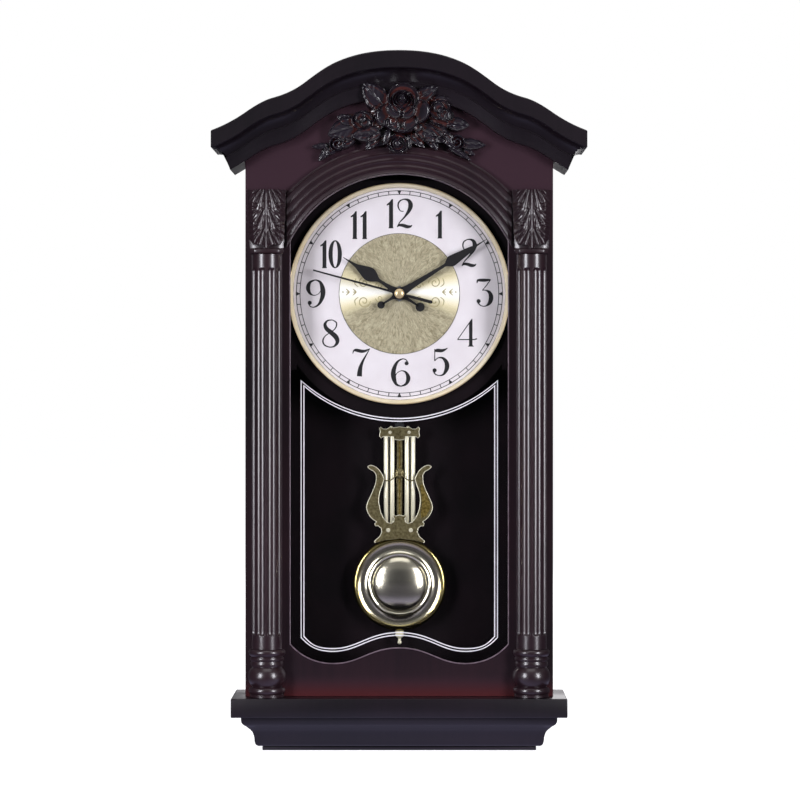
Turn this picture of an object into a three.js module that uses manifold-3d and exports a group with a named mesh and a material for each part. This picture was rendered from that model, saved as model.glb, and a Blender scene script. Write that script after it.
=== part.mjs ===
// A wall clock with a pendulum: a dark wooden case with a shaped crown, a carved rose, two fluted
// columns and an arched window, a round dial with three hands, and a quartz movement behind it.
// Millimetres, +X to the viewer's right, +Z up, the front faces -Y, and the wall is the plane Y = 0.
// The origin is the top of the keyhole that the clock hangs from.
import * as THREE from 'three';
import { mergeVertices } from 'three/addons/utils/BufferGeometryUtils.js';
import Module from 'manifold-3d';

const wasm = await Module();
wasm.setup();

// Driving dimensions
const GAP = 0.3;                  // clearance between pieces that touch
const CASE_HALF_WIDTH = 133.5;
const CASE_DEPTH = 58;            // wall to the back of the front frame
const BOARD = 12;                 // thickness of the side boards
const FRAME_THICKNESS = 8;
const FRAME_FRONT = -(CASE_DEPTH + GAP + FRAME_THICKNESS);
const FACE = FRAME_FRONT - GAP;   // where the applied carvings start
const INNER_HALF_WIDTH = CASE_HALF_WIDTH - BOARD - GAP;
const CASE_TOP = 17;
const CASE_BOTTOM = -483.4;
const BACK_PANEL_TOP = 24;
const SERVICE_HALF_WIDTH = 50;    // the hole in the back panel behind the movement
const SERVICE_TOP = -62;
const SERVICE_BOTTOM = -182;

const CROWN_HALF_WIDTH = 162;
const CROWN_FRONT = -92;
const CROWN_DROP = 40;            // height of the crown moulding's section
const SKIN_THICKNESS = 3;
const CROWN_BACK_HALF_WIDTH = 105;

const PLINTH_HALF_WIDTH = 145.2;
const PLINTH_FRONT = -88;
const PLINTH_TOP = CASE_BOTTOM - GAP;
const PLINTH_BOTTOM = -500.2;
const BASE_BOTTOM = -527;
const FOOT_BOTTOM = -530.8;

const WINDOW_HALF_WIDTH = 94.8;
const WINDOW_CORNER = -438.2;     // height of the window's bottom corners
const WINDOW_DIP = -455.2;        // lowest points of its shaped bottom edge
const WINDOW_CENTRE = -441.6;
const ARCH_CENTRE = -136.8;
const ARCH_RADIUS = 106.5;
const ARCH_WIDTH = 25.5;
const ARCH_HEIGHT = 6.5;          // how far the arch moulding stands off the frame

const COLUMN_X = 114.6;
const COLUMN_Y = -70;
const COLUMN_RADIUS = 13.2;
const SHAFT_TOP = -100.3;
const SHAFT_BOTTOM = -441.8;
const CAPITAL_TOP = -44.5;

const DIAL_Z = -133.5;
const DIAL_RADIUS = 92.8;
const BEZEL_RADIUS = 96.6;
const DIAL_BOARD_FRONT = -40;
const HOUR_ANGLE = -57.1;         // degrees clockwise from twelve
const MINUTE_ANGLE = 58.1;
const SECOND_ANGLE = -74.8;

const MOVEMENT_HALF_WIDTH = 30;
const MOVEMENT_TOP = -77.5;
const MOVEMENT_BOTTOM = -161.5;
const MOVEMENT_FRONT = -35.7;
const MOVEMENT_BACK = -19.7;

const PIVOT_Z = -152;
const PENDULUM_Y = -16;           // middle plane of the pendulum
const BOB_Z = -389.1;
const BOB_RADIUS = 41.1;

// Finishes
const finish = (color, roughness, metalness) => new THREE.MeshStandardMaterial({ color, roughness, metalness });
const lacqueredWood = finish('#2a1d21', 0.3, 0);
const bareBoard = finish('#6b4a36', 0.8, 0);
const brass = finish('#b99b5a', 0.3, 1);
const gilt = finish('#d8c48c', 0.25, 1);
const steel = finish('#9a9c9e', 0.35, 1);
const copper = finish('#b26b3c', 0.4, 1);
const blackEnamel = finish('#121114', 0.35, 0);
const whiteCard = finish('#efedf2', 0.6, 0);
const blackPlastic = finish('#1b1b1d', 0.5, 0);
const whitePlastic = finish('#e6e2d6', 0.5, 0);
const boardGreen = finish('#2d5a3a', 0.6, 0);
const clearGlass = finish('#c9d2d4', 0.05, 0);

const clock = new THREE.Group();

function add(name, shape, material) {
  const geometry = shape instanceof THREE.BufferGeometry ? shape : geometryOf(shape);
  const mesh = new THREE.Mesh(geometry, material);
  mesh.name = name;
  clock.add(mesh);
}

// A closed geometry as a solid that can be cut and joined.
function solid(geometry) {
  const bare = geometry.index ? geometry.toNonIndexed() : geometry.clone();
  bare.deleteAttribute('normal');
  bare.deleteAttribute('uv');
  const merged = mergeVertices(bare, 1e-4);
  const corners = [];
  const index = merged.index.array;
  for (let i = 0; i < index.length; i += 3) {
    const [a, b, c] = [index[i], index[i + 1], index[i + 2]];
    if (a !== b && b !== c && c !== a) corners.push(a, b, c);
  }
  return new wasm.Manifold(new wasm.Mesh({
    numProp: 3,
    vertProperties: new Float32Array(merged.attributes.position.array),
    triVerts: new Uint32Array(corners),
  }));
}

function geometryOf(manifold) {
  const mesh = manifold.getMesh();
  const geometry = new THREE.BufferGeometry();
  geometry.setAttribute('position', new THREE.BufferAttribute(new Float32Array(mesh.vertProperties), 3));
  geometry.setIndex(new THREE.BufferAttribute(new Uint32Array(mesh.triVerts), 1));
  return geometry;
}

function join(...geometries) {
  return geometries.map(solid).reduce((whole, piece) => whole.add(piece));
}

function cut(whole, ...geometries) {
  return geometries.map(solid).reduce((left, piece) => left.subtract(piece), whole);
}

// A box between two corners.
function box(x0, x1, y0, y1, z0, z1) {
  const geometry = new THREE.BoxGeometry(x1 - x0, y1 - y0, z1 - z0);
  return geometry.translate((x0 + x1) / 2, (y0 + y1) / 2, (z0 + z1) / 2);
}

// A flat outline drawn in X and Z, as seen from the front, made solid from yBack forward to yFront.
function plate(shape, yFront, yBack, curveSegments = 10) {
  const geometry = new THREE.ExtrudeGeometry(shape, { depth: yBack - yFront, bevelEnabled: false, curveSegments });
  return geometry.rotateX(Math.PI / 2).translate(0, yBack, 0);
}

function outline(points) {
  return new THREE.Shape(points.map(([x, z]) => new THREE.Vector2(x, z)));
}

// A turned piece about an axis along Y: the profile is [radius, y], front first.
function turnedAlongY(profile, segments, z, x = 0) {
  const points = profile.map(([radius, y]) => new THREE.Vector2(radius, y));
  return new THREE.LatheGeometry(points, segments).translate(x, 0, z);
}

// A turned piece about a vertical axis: the profile is [radius, z], bottom first.
function turnedAlongZ(profile, segments, x, y) {
  const points = profile.map(([radius, z]) => new THREE.Vector2(radius, z));
  return new THREE.LatheGeometry(points, segments).rotateX(Math.PI / 2).translate(x, y, 0);
}

function disc(radius, yFront, yBack, segments, z, x = 0) {
  return turnedAlongY([[0, yFront], [radius, yFront], [radius, yBack], [0, yBack]], segments, z, x);
}

function ring(inner, outer, yFront, yBack, segments, z, x = 0) {
  const profile = [[inner, yFront], [outer, yFront], [outer, yBack], [inner, yBack], [inner, yFront]];
  return turnedAlongY(profile, segments, z, x);
}

// An ellipsoid, flattened along Y and turned in the plane of the front.
function petal(x, y, z, length, width, thickness, turn) {
  const geometry = new THREE.SphereGeometry(1, 10, 6).scale(length, thickness, width);
  return geometry.rotateY(-THREE.MathUtils.degToRad(turn)).translate(x, y, z);
}

// Height of the crown's top edge: a low centre hump and two sweeping ends, each stretch a smooth
// cubic between knots of [distance from the centre, height, slope].
const CROWN_KNOTS = [
  [0, 75, 0], [54, 64.8, -0.45], [81, 47.2, -0.76], [108, 34.2, -0.27], [132, 21.6, -0.7], [162, 5.9, -0.36],
];

function crownHeight(x) {
  const distance = Math.min(Math.abs(x), CROWN_HALF_WIDTH);
  const last = CROWN_KNOTS.findIndex(([knot]) => distance <= knot);
  const [x1, z1, slope1] = CROWN_KNOTS[Math.max(last, 1)];
  const [x0, z0, slope0] = CROWN_KNOTS[Math.max(last, 1) - 1];
  const span = x1 - x0;
  const t = (distance - x0) / span;
  const rise = 3 * t * t - 2 * t * t * t;
  return z0 + (z1 - z0) * rise
    + span * slope0 * t * (1 - t) * (1 - t)
    - span * slope1 * t * t * (1 - t);
}

// Points along the crown's edge, lowered by a drop, from one side to the other.
function crownEdge(from, to, steps, drop) {
  return Array.from({ length: steps + 1 }, (_, i) => {
    const x = from + ((to - from) * i) / steps;
    return [x, crownHeight(x) - drop];
  });
}

// The crown's section: [set back from the front, drop below the top edge]. A flat fascia over a cove.
const COVE = [
  [0, 0], [0, 16], [1.6, 17], [3.4, 18.6], [6.4, 21.5], [10, 26.5], [12.5, 31], [14.2, 35.2], [16, 40],
];

function buildCase() {
  for (const [side, sign] of [['left', -1], ['right', 1]]) {
    const edges = [sign * CASE_HALF_WIDTH, sign * (CASE_HALF_WIDTH - BOARD)].sort((a, b) => a - b);
    add(`${side}_side_panel`, box(...edges, -CASE_DEPTH, 0, CASE_BOTTOM, CASE_TOP), lacqueredWood);
  }
  const backPanel = outline([
    [-INNER_HALF_WIDTH, CASE_BOTTOM], [INNER_HALF_WIDTH, CASE_BOTTOM],
    [INNER_HALF_WIDTH, BACK_PANEL_TOP], [-INNER_HALF_WIDTH, BACK_PANEL_TOP],
  ]);
  const serviceHole = new THREE.Path();
  serviceHole.moveTo(-SERVICE_HALF_WIDTH, SERVICE_BOTTOM);
  serviceHole.lineTo(-SERVICE_HALF_WIDTH, SERVICE_TOP);
  serviceHole.lineTo(SERVICE_HALF_WIDTH, SERVICE_TOP);
  serviceHole.lineTo(SERVICE_HALF_WIDTH, SERVICE_BOTTOM);
  serviceHole.closePath();
  backPanel.holes.push(serviceHole);
  const keyholeRecess = box(-7, 7, -6, -1, -16, 5);
  add('back_panel', cut(solid(plate(backPanel, -5, -2)), keyholeRecess), bareBoard);

  const under = SKIN_THICKNESS + 3 * GAP;
  const backTop = outline([
    [-CROWN_BACK_HALF_WIDTH, BACK_PANEL_TOP + GAP], [CROWN_BACK_HALF_WIDTH, BACK_PANEL_TOP + GAP],
    ...crownEdge(CROWN_BACK_HALF_WIDTH, -CROWN_BACK_HALF_WIDTH, 16, under),
  ]);
  add('crown_back_board', plate(backTop, -8, -2), bareBoard);
  add('roof_board', box(-INNER_HALF_WIDTH, INNER_HALF_WIDTH, -CASE_DEPTH, -8.3, -14, -2), bareBoard);

  // The front rises behind the crown, up to the bent sheet over it.
  const frame = outline([
    [-CASE_HALF_WIDTH, CASE_BOTTOM], [CASE_HALF_WIDTH, CASE_BOTTOM],
    ...crownEdge(CASE_HALF_WIDTH, -CASE_HALF_WIDTH, 20, under),
  ]);
  frame.holes.push(windowOutline());
  add('front_frame', plate(frame, FRAME_FRONT, -(CASE_DEPTH + GAP), 16), lacqueredWood);

  add('window_glass', box(-106, 106, -57.7, -55.7, -463, -25), clearGlass);
  for (const [side, sign] of [['left', -1], ['right', 1]]) {
    const edges = [sign * 106.3, sign * 118].sort((a, b) => a - b);
    add(`glass_strip_${side}`, box(...edges, -57.7, -53, -463, -40), blackPlastic);
  }
}

function windowOutline() {
  const spring = Math.sqrt(ARCH_RADIUS ** 2 - WINDOW_HALF_WIDTH ** 2);
  const angle = Math.atan2(spring, WINDOW_HALF_WIDTH);
  const path = new THREE.Path();
  path.moveTo(-WINDOW_HALF_WIDTH, WINDOW_CORNER);
  path.lineTo(-WINDOW_HALF_WIDTH, ARCH_CENTRE + spring);
  path.absarc(0, ARCH_CENTRE, ARCH_RADIUS, Math.PI - angle, angle, true);
  path.lineTo(WINDOW_HALF_WIDTH, WINDOW_CORNER);
  path.bezierCurveTo(88, WINDOW_CORNER - 8, 76, WINDOW_DIP, 57, WINDOW_DIP);
  path.bezierCurveTo(34, WINDOW_DIP, 26, WINDOW_CENTRE, 0, WINDOW_CENTRE);
  path.bezierCurveTo(-26, WINDOW_CENTRE, -34, WINDOW_DIP, -57, WINDOW_DIP);
  path.bezierCurveTo(-76, WINDOW_DIP, -88, WINDOW_CORNER - 8, -WINDOW_HALF_WIDTH, WINDOW_CORNER);
  return path;
}

function buildCrown() {
  // The front moulding is swept straight, mitred at its ends by drawing each set-back line in,
  // and then bent up to the crown's edge.
  const steps = 30;
  const section = outline([
    ...COVE.map(([back, drop]) => [CROWN_FRONT + back, -drop]),
    ...[...COVE].reverse().map(([, drop]) => [FACE, -drop]),
  ]);
  const straight = new THREE.ExtrudeGeometry(section, { depth: 2, steps, bevelEnabled: false });
  straight.rotateX(Math.PI / 2).rotateZ(Math.PI / 2).translate(-1, 0, 0);
  const position = straight.attributes.position;
  for (let i = 0; i < position.count; i += 1) {
    const drop = -position.getZ(i);
    const x = position.getX(i) * (CROWN_HALF_WIDTH - setBack(drop));
    position.setX(i, x);
    position.setZ(i, crownHeight(x) - drop);
  }
  add('crown_front', straight, lacqueredWood);

  const skin = outline([
    ...crownEdge(-CROWN_HALF_WIDTH, CROWN_HALF_WIDTH, steps, SKIN_THICKNESS),
    ...crownEdge(CROWN_HALF_WIDTH, -CROWN_HALF_WIDTH, steps, 0),
  ]);
  add('roof_skin', plate(skin, FRAME_FRONT, 0), lacqueredWood);

  const inner = CASE_HALF_WIDTH + GAP;
  const returnShape = [
    [inner, crownHeight(inner) - CROWN_DROP],
    ...COVE.slice(1).reverse().map(([back, drop]) => {
      const x = CROWN_HALF_WIDTH - back;
      return [x, crownHeight(x) - drop];
    }),
    ...crownEdge(CROWN_HALF_WIDTH, inner, 6, SKIN_THICKNESS + 3 * GAP),
  ];
  add('crown_return_right', plate(outline(returnShape), FRAME_FRONT, 0), lacqueredWood);
  const mirrored = [...returnShape].reverse().map(([x, z]) => [-x, z]);
  add('crown_return_left', plate(outline(mirrored), FRAME_FRONT, 0), lacqueredWood);
}

// How far the crown's section sets back at a given drop.
function setBack(drop) {
  const after = COVE.findIndex(([, knot]) => drop <= knot + 1e-4 && knot > 0);
  if (drop < 1e-4 || after < 1) return drop < 1e-4 ? 0 : COVE[COVE.length - 1][0];
  const [back1, drop1] = COVE[after];
  const [back0, drop0] = COVE[after - 1];
  return back0 + ((back1 - back0) * (drop - drop0)) / (drop1 - drop0);
}

function buildBase() {
  const plinth = box(-PLINTH_HALF_WIDTH, PLINTH_HALF_WIDTH, PLINTH_FRONT, 0, PLINTH_BOTTOM, PLINTH_TOP);
  add('plinth_board', plinth, lacqueredWood);
  // Ogee edge of the base: [set back from the plinth's edge, height].
  const top = PLINTH_BOTTOM - GAP;
  const ogee = [
    [21.5, BASE_BOTTOM], [20, BASE_BOTTOM + 3.4], [19.5, -518.3], [19, -516], [17, -512.6], [15, -510.6],
    [12, -508.3], [10.5, -505.7], [8.5, -503.4], [8.5, top],
  ];
  const frontView = outline([
    ...ogee.map(([back, z]) => [PLINTH_HALF_WIDTH - back, z]),
    ...[...ogee].reverse().map(([back, z]) => [back - PLINTH_HALF_WIDTH, z]),
  ]);
  const sideView = outline([
    [0, top], ...[...ogee].reverse().map(([back, z]) => [PLINTH_FRONT + back, z]), [0, BASE_BOTTOM],
  ]);
  const alongY = plate(frontView, PLINTH_FRONT, 0);
  const alongX = new THREE.ExtrudeGeometry(sideView, { depth: 2 * PLINTH_HALF_WIDTH, bevelEnabled: false });
  alongX.rotateX(Math.PI / 2).rotateZ(Math.PI / 2).translate(-PLINTH_HALF_WIDTH, 0, 0);
  add('base_moulding', solid(alongY).intersect(solid(alongX)), lacqueredWood);
  const foot = box(-119, 119, PLINTH_FRONT + 26, -4, FOOT_BOTTOM, BASE_BOTTOM - GAP);
  add('foot_board', foot, lacqueredWood);
}

function buildArch() {
  const reeds = 4;
  const pitch = ARCH_WIDTH / reeds;
  const profile = [[ARCH_RADIUS + ARCH_WIDTH, FACE], [ARCH_RADIUS, FACE], [ARCH_RADIUS, FACE - ARCH_HEIGHT / 2]];
  for (let reed = 0; reed < reeds; reed += 1) {
    const start = ARCH_RADIUS + reed * pitch;
    for (const [along, height] of [[0.3, 0.95], [0.7, 0.95], [1, 0.5]]) {
      profile.push([start + along * pitch, FACE - ARCH_HEIGHT * height]);
    }
  }
  profile.push([ARCH_RADIUS + ARCH_WIDTH, FACE]);
  const hoop = turnedAlongY(profile, 54, ARCH_CENTRE);
  const edge = COLUMN_X - 17 - GAP;
  const keep = box(-edge, edge, FACE - 20, FACE + 1, -88.5, 40);
  add('arch_moulding', solid(hoop).intersect(solid(keep)), lacqueredWood);
}

function buildColumn(side, sign) {
  const x = sign * COLUMN_X;
  // Behind the frame's face nothing of the column is left.
  const behind = box(x - 40, x + 40, FACE, FACE + 60, -520, 0);
  const flutes = [-54, -18, 18, 54].map((degrees) => {
    const angle = THREE.MathUtils.degToRad(degrees);
    const reach = COLUMN_RADIUS + 0.8;
    const flute = new THREE.CapsuleGeometry(3.4, SHAFT_TOP - SHAFT_BOTTOM - 28, 4, 10).rotateX(Math.PI / 2);
    return flute.translate(x + reach * Math.sin(angle), COLUMN_Y - reach * Math.cos(angle),
      (SHAFT_TOP + SHAFT_BOTTOM) / 2);
  });
  const round = turnedAlongZ([
    [0, SHAFT_BOTTOM], [COLUMN_RADIUS, SHAFT_BOTTOM], [COLUMN_RADIUS, SHAFT_TOP], [0, SHAFT_TOP],
  ], 30, x, COLUMN_Y);
  add(`column_shaft_${side}`, cut(solid(round), behind, ...flutes), lacqueredWood);

  const foot = turnedAlongZ([
    [0, PLINTH_TOP + GAP], [16, PLINTH_TOP + GAP], [16, -476], [14.4, -474.5], [16.4, -469], [16.4, -463],
    [14, -458], [14, -453], [14.6, -452.3], [14.6, -448.4], [15.8, -447], [15.8, -443], [14.4, -442.1],
    [0, -442.1],
  ], 24, x, COLUMN_Y);
  add(`column_base_${side}`, cut(solid(foot), behind), lacqueredWood);

  // The capital flares from the shaft's collar to a wide leafy top.
  const flare = [
    [16.4, CAPITAL_TOP], [17, CAPITAL_TOP - 12], [15.2, CAPITAL_TOP - 30], [14.4, CAPITAL_TOP - 44],
    [14.4, SHAFT_TOP + GAP],
  ];
  const face = outline([
    ...[...flare].reverse().map(([half, z]) => [x + half, z]),
    ...flare.map(([half, z]) => [x - half, z]),
  ]);
  const capital = new THREE.ExtrudeGeometry(face, {
    depth: 10, bevelEnabled: true, bevelThickness: 5, bevelSize: 4, bevelOffset: -4, bevelSegments: 2,
  });
  capital.rotateX(Math.PI / 2).translate(0, FACE - 3, 0);
  add(`capital_${side}`, cut(solid(capital), behind), lacqueredWood);
}

// The rose carving is one casting: a leafy backing with a large rose, two small ones, a bud and scrolls.
function buildRose() {
  const back = FACE - 3.2;
  const backing = outline([
    [-74, -20], [-40, -16], [-8, -20], [20, -20], [45, -14], [66, -19], [76, -6],
    [56, 12], [48, 20], [30, 29], [-26, 29], [-44, 24], [-58, 12], [-66, 0],
  ]);
  const carving = join(
    plate(backing, back, FACE),
    petal(3, back - 10, 30, 17, 17, 13, 0),
    petal(3, back - 17, 32, 9, 9, 8, 0),
    petal(-19, back - 18, 36, 14, 9, 5, 40),
    petal(22, back - 18, 36, 13, 8, 5, -20),
    petal(-31, back - 5, 15, 12, 11, 9, 0),
    petal(36, back - 5, 23, 12, 12, 9, 0),
    petal(0, back - 4, -5, 12, 11, 9, 0),
    petal(-50, back - 2, 6, 15, 8, 6, 20),
    petal(50, back - 2, 6, 15, 8, 6, -20),
    petal(-55, back - 1, -8, 10, 8, 6, 0),
    petal(56, back - 1, -8, 10, 8, 6, 0),
  );
  // The crown's cove overhangs the carving's upper part.
  const crownRoom = box(-90, 90, -84, FACE + 5, 21, 70);
  const lower = box(-40, 40, -84, FACE + 5, 21, 28.5);
  const upperOnly = solid(crownRoom).subtract(solid(lower));
  const behind = box(-90, 90, FACE, FACE + 30, -40, 80);
  // Its lowest flowers lie over the top of the arch moulding.
  const archRoom = disc(ARCH_RADIUS + ARCH_WIDTH + GAP, FACE - ARCH_HEIGHT - GAP, FACE, 54, ARCH_CENTRE);
  add('rose_carving', cut(carving.subtract(upperOnly), behind, archRoom), lacqueredWood);
}

function buildDial() {
  const arcAngle = Math.asin(90 / 109);
  const board = new THREE.Shape();
  board.moveTo(-118, -34);
  board.lineTo(-118, -200);
  board.lineTo(-90, -200);
  board.absarc(0, DIAL_Z, 109, -Math.PI / 2 - arcAngle, -Math.PI / 2 + arcAngle, false);
  board.lineTo(90, -200);
  board.lineTo(118, -200);
  board.lineTo(118, -34);
  board.closePath();
  const bushingHole = disc(4.4, -60, 0, 20, DIAL_Z);
  add('dial_board', cut(solid(plate(board, DIAL_BOARD_FRONT, -36, 20)), bushingHole), blackPlastic);
  const face = ring(4.4, DIAL_RADIUS, -41.2, -40.3, 48, DIAL_Z);
  add('dial_face', face, whiteCard);
  add('dial_centre_disc', ring(4.4, 52.6, -42.1, -41.5, 48, DIAL_Z), gilt);
  add('dial_bezel', turnedAlongY([
    [DIAL_RADIUS + GAP, -42.5], [95, -45.6], [BEZEL_RADIUS, -44.6], [BEZEL_RADIUS, -40.3],
    [DIAL_RADIUS + GAP, -40.3], [DIAL_RADIUS + GAP, -42.5],
  ], 48, DIAL_Z), gilt);
}

// A spade hand pointing at twelve: a slim neck, a swelling from where the leaf starts to its tip,
// and a short tail with a ball.
function spadeHand(length, leafStart, leafEnd, leafHalf, tail, ball) {
  const shape = new THREE.Shape();
  shape.moveTo(-1.1, -tail);
  shape.lineTo(-1.5, leafStart);
  shape.bezierCurveTo(-leafHalf * 1.3, leafStart + 2, -leafHalf * 1.1, (leafStart + leafEnd) / 2, -1.3, leafEnd);
  shape.lineTo(-0.5, length);
  shape.lineTo(0.5, length);
  shape.lineTo(1.3, leafEnd);
  shape.bezierCurveTo(leafHalf * 1.1, (leafStart + leafEnd) / 2, leafHalf * 1.3, leafStart + 2, 1.5, leafStart);
  shape.lineTo(1.1, -tail);
  shape.closePath();
  const ballDisc = new THREE.Shape().absarc(0, -tail, ball, 0, 2 * Math.PI, false);
  const boss = new THREE.Shape().absarc(0, 0, 5, 0, 2 * Math.PI, false);
  return [shape, ballDisc, boss];
}

function hand(shapes, yFront, yBack, boreRadius, angle) {
  const blank = join(...shapes.map((shape) => plate(shape, yFront, yBack, 8)));
  const cutOut = boreRadius > 0 ? cut(blank, disc(boreRadius, yFront - 5, yBack + 5, 20, 0)) : blank;
  const geometry = geometryOf(cutOut).rotateY(THREE.MathUtils.degToRad(angle));
  return geometry.translate(0, 0, DIAL_Z);
}

function buildHands() {
  add('hour_hand', hand(spadeHand(58.5, 23, 45, 8.5, 21.6, 4), -46.1, -45.5, 3.1, HOUR_ANGLE), blackEnamel);
  add('minute_hand', hand(spadeHand(89.5, 44, 78, 5.6, 18.8, 3.3), -48.1, -47.5, 2.1, MINUTE_ANGLE), blackEnamel);
  const needle = outline([[-0.9, -29.9], [0.9, -29.9], [0.9, -6], [0.35, 78.1], [-0.35, 78.1], [-0.9, -6]]);
  const collar = new THREE.Shape().absarc(0, 0, 3, 0, 2 * Math.PI, false);
  add('second_hand', hand([needle, collar], -50.1, -49.6, 1.1, SECOND_ANGLE), blackEnamel);
  add('hand_cap', turnedAlongY([[0, -52.6], [2.6, -52.3], [4, -51.2], [4.3, -50.4], [0, -50.4]], 20, DIAL_Z), brass);
}

// The gear train's wheels are plain discs of their pitch size, clear of one another by the gap.
// centre is [x, z] from the dial's axis.
const CENTRE = [0, 0];
const IDLER = [-10.5, 0];
const ROTOR = [-17.5, 8.2];
const THIRD = [0, 10.2];
const MOTION = [11.5, 0];

function wheel(name, centre, sections, material, bore = 0) {
  const [x, z] = centre;
  const front = sections[0][1];
  const back = sections[sections.length - 1][2];
  const profile = sections.flatMap(([radius, yFront, yBack]) => [[radius, yFront], [radius, yBack]]);
  const closed = [[bore, front], ...profile, [bore, back], ...(bore > 0 ? [[bore, front]] : [])];
  add(name, turnedAlongY(closed, 16, DIAL_Z + z, x), material);
}

function buildMovement() {
  const tray = box(-MOVEMENT_HALF_WIDTH, MOVEMENT_HALF_WIDTH, MOVEMENT_FRONT, MOVEMENT_BACK - 1.8,
    MOVEMENT_BOTTOM, MOVEMENT_TOP);
  const wheelRoom = box(-28, 28, MOVEMENT_FRONT + 1.6, 0, -159.5, -104);
  const batteryRoom = box(-28, 28, MOVEMENT_FRONT + 1.6, 0, -102, -79.5);
  const bushing = turnedAlongY([
    [3.1, -43.6], [4, -43.6], [4, MOVEMENT_FRONT + 0.5], [3.1, MOVEMENT_FRONT + 0.5], [3.1, -43.6],
  ], 24, DIAL_Z);
  const shaftHole = disc(3.1, -50, -30, 24, DIAL_Z);
  const housing = cut(solid(tray), wheelRoom, batteryRoom, shaftHole).add(solid(bushing));
  add('movement_housing', housing, blackPlastic);
  const knobHole = disc(2.2, -25, -10, 16, DIAL_Z + MOTION[1], MOTION[0]);
  const coverPlate = box(-MOVEMENT_HALF_WIDTH, MOVEMENT_HALF_WIDTH, MOVEMENT_BACK - 1.5, MOVEMENT_BACK,
    MOVEMENT_BOTTOM, -103);
  add('movement_rear_cover', cut(solid(coverPlate), knobHole), whitePlastic);
  const hexagon = disc(7, -43.4, -42.4, 6, DIAL_Z);
  add('bushing_nut', cut(solid(hexagon), disc(4.3, -50, -30, 20, DIAL_Z)), brass);

  add('circuit_board', box(10, 27, -33.6, -32.6, -158, -146), boardGreen);
  const core = box(-27, 4, -33.6, -32.2, -151, -148);
  const coil = join(core, new THREE.CylinderGeometry(3.4, 3.4, 20, 16).rotateZ(Math.PI / 2)
    .translate(-12, -30, -149.5));
  add('motor_coil', coil, copper);
  add('pendulum_coil', ring(2, 7, -30.5, -23, 20, -151, 17), copper);

  const cell = [[0, -25.2], [7, -25.2], [7.1, 22.8], [2.7, 23], [2.7, 24.3], [0, 24.3]];
  const cellPoints = cell.map(([radius, length]) => new THREE.Vector2(radius, length));
  const battery = new THREE.LatheGeometry(cellPoints, 20).rotateZ(-Math.PI / 2).translate(0, -26.6, -90.8);
  add('battery', battery, gilt);
  add('battery_contact_plus', box(24.8, 27.6, -32, -21, -96, -85.6), steel);
  add('battery_contact_minus', box(-27.6, -25.6, -32, -21, -96, -85.6), steel);

  wheel('rotor', ROTOR, [[0.6, -33, -31.6], [1.8, -31.6, -28.4], [3, -28.4, -24.4], [0.6, -24.4, -22.4]], steel);
  wheel('idler_wheel', IDLER, [
    [0.6, -33, -30.9], [8.3, -30.9, -29.9], [1.3, -29.9, -25.4], [0.6, -25.4, -22.4],
  ], whitePlastic);
  wheel('third_wheel', THIRD, [
    [0.6, -33, -32.6], [0.9, -32.6, -29.4], [0.9, -29.4, -25.4], [8.6, -25.4, -24.6], [0.6, -24.6, -22.4],
  ], whitePlastic);
  wheel('motion_wheel', MOTION, [
    [0.6, -33.6, -33.4], [2.2, -33.4, -32.5], [8.3, -31.9, -31.2], [1.2, -31.2, -18.6],
  ], whitePlastic);
  add('setting_knob', disc(5, -18.3, -14.6, 20, DIAL_Z + MOTION[1], MOTION[0]), blackPlastic);

  wheel('second_wheel', CENTRE, [
    [0.6, -50.1, -27.6], [1, -27.6, -26.8], [8.6, -26.8, -26], [1, -26, -23.8], [0.6, -23.8, -22.4],
  ], whitePlastic);
  wheel('minute_wheel', CENTRE, [
    [1.8, -48.1, -32.2], [2.9, -32.2, -31], [2, -31, -29.2], [8, -29.2, -28.4],
  ], whitePlastic, 0.9);
  wheel('hour_wheel', CENTRE, [[2.8, -46.1, -33.4], [8.9, -33.4, -32.6]], whitePlastic, 2.1);
}

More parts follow.
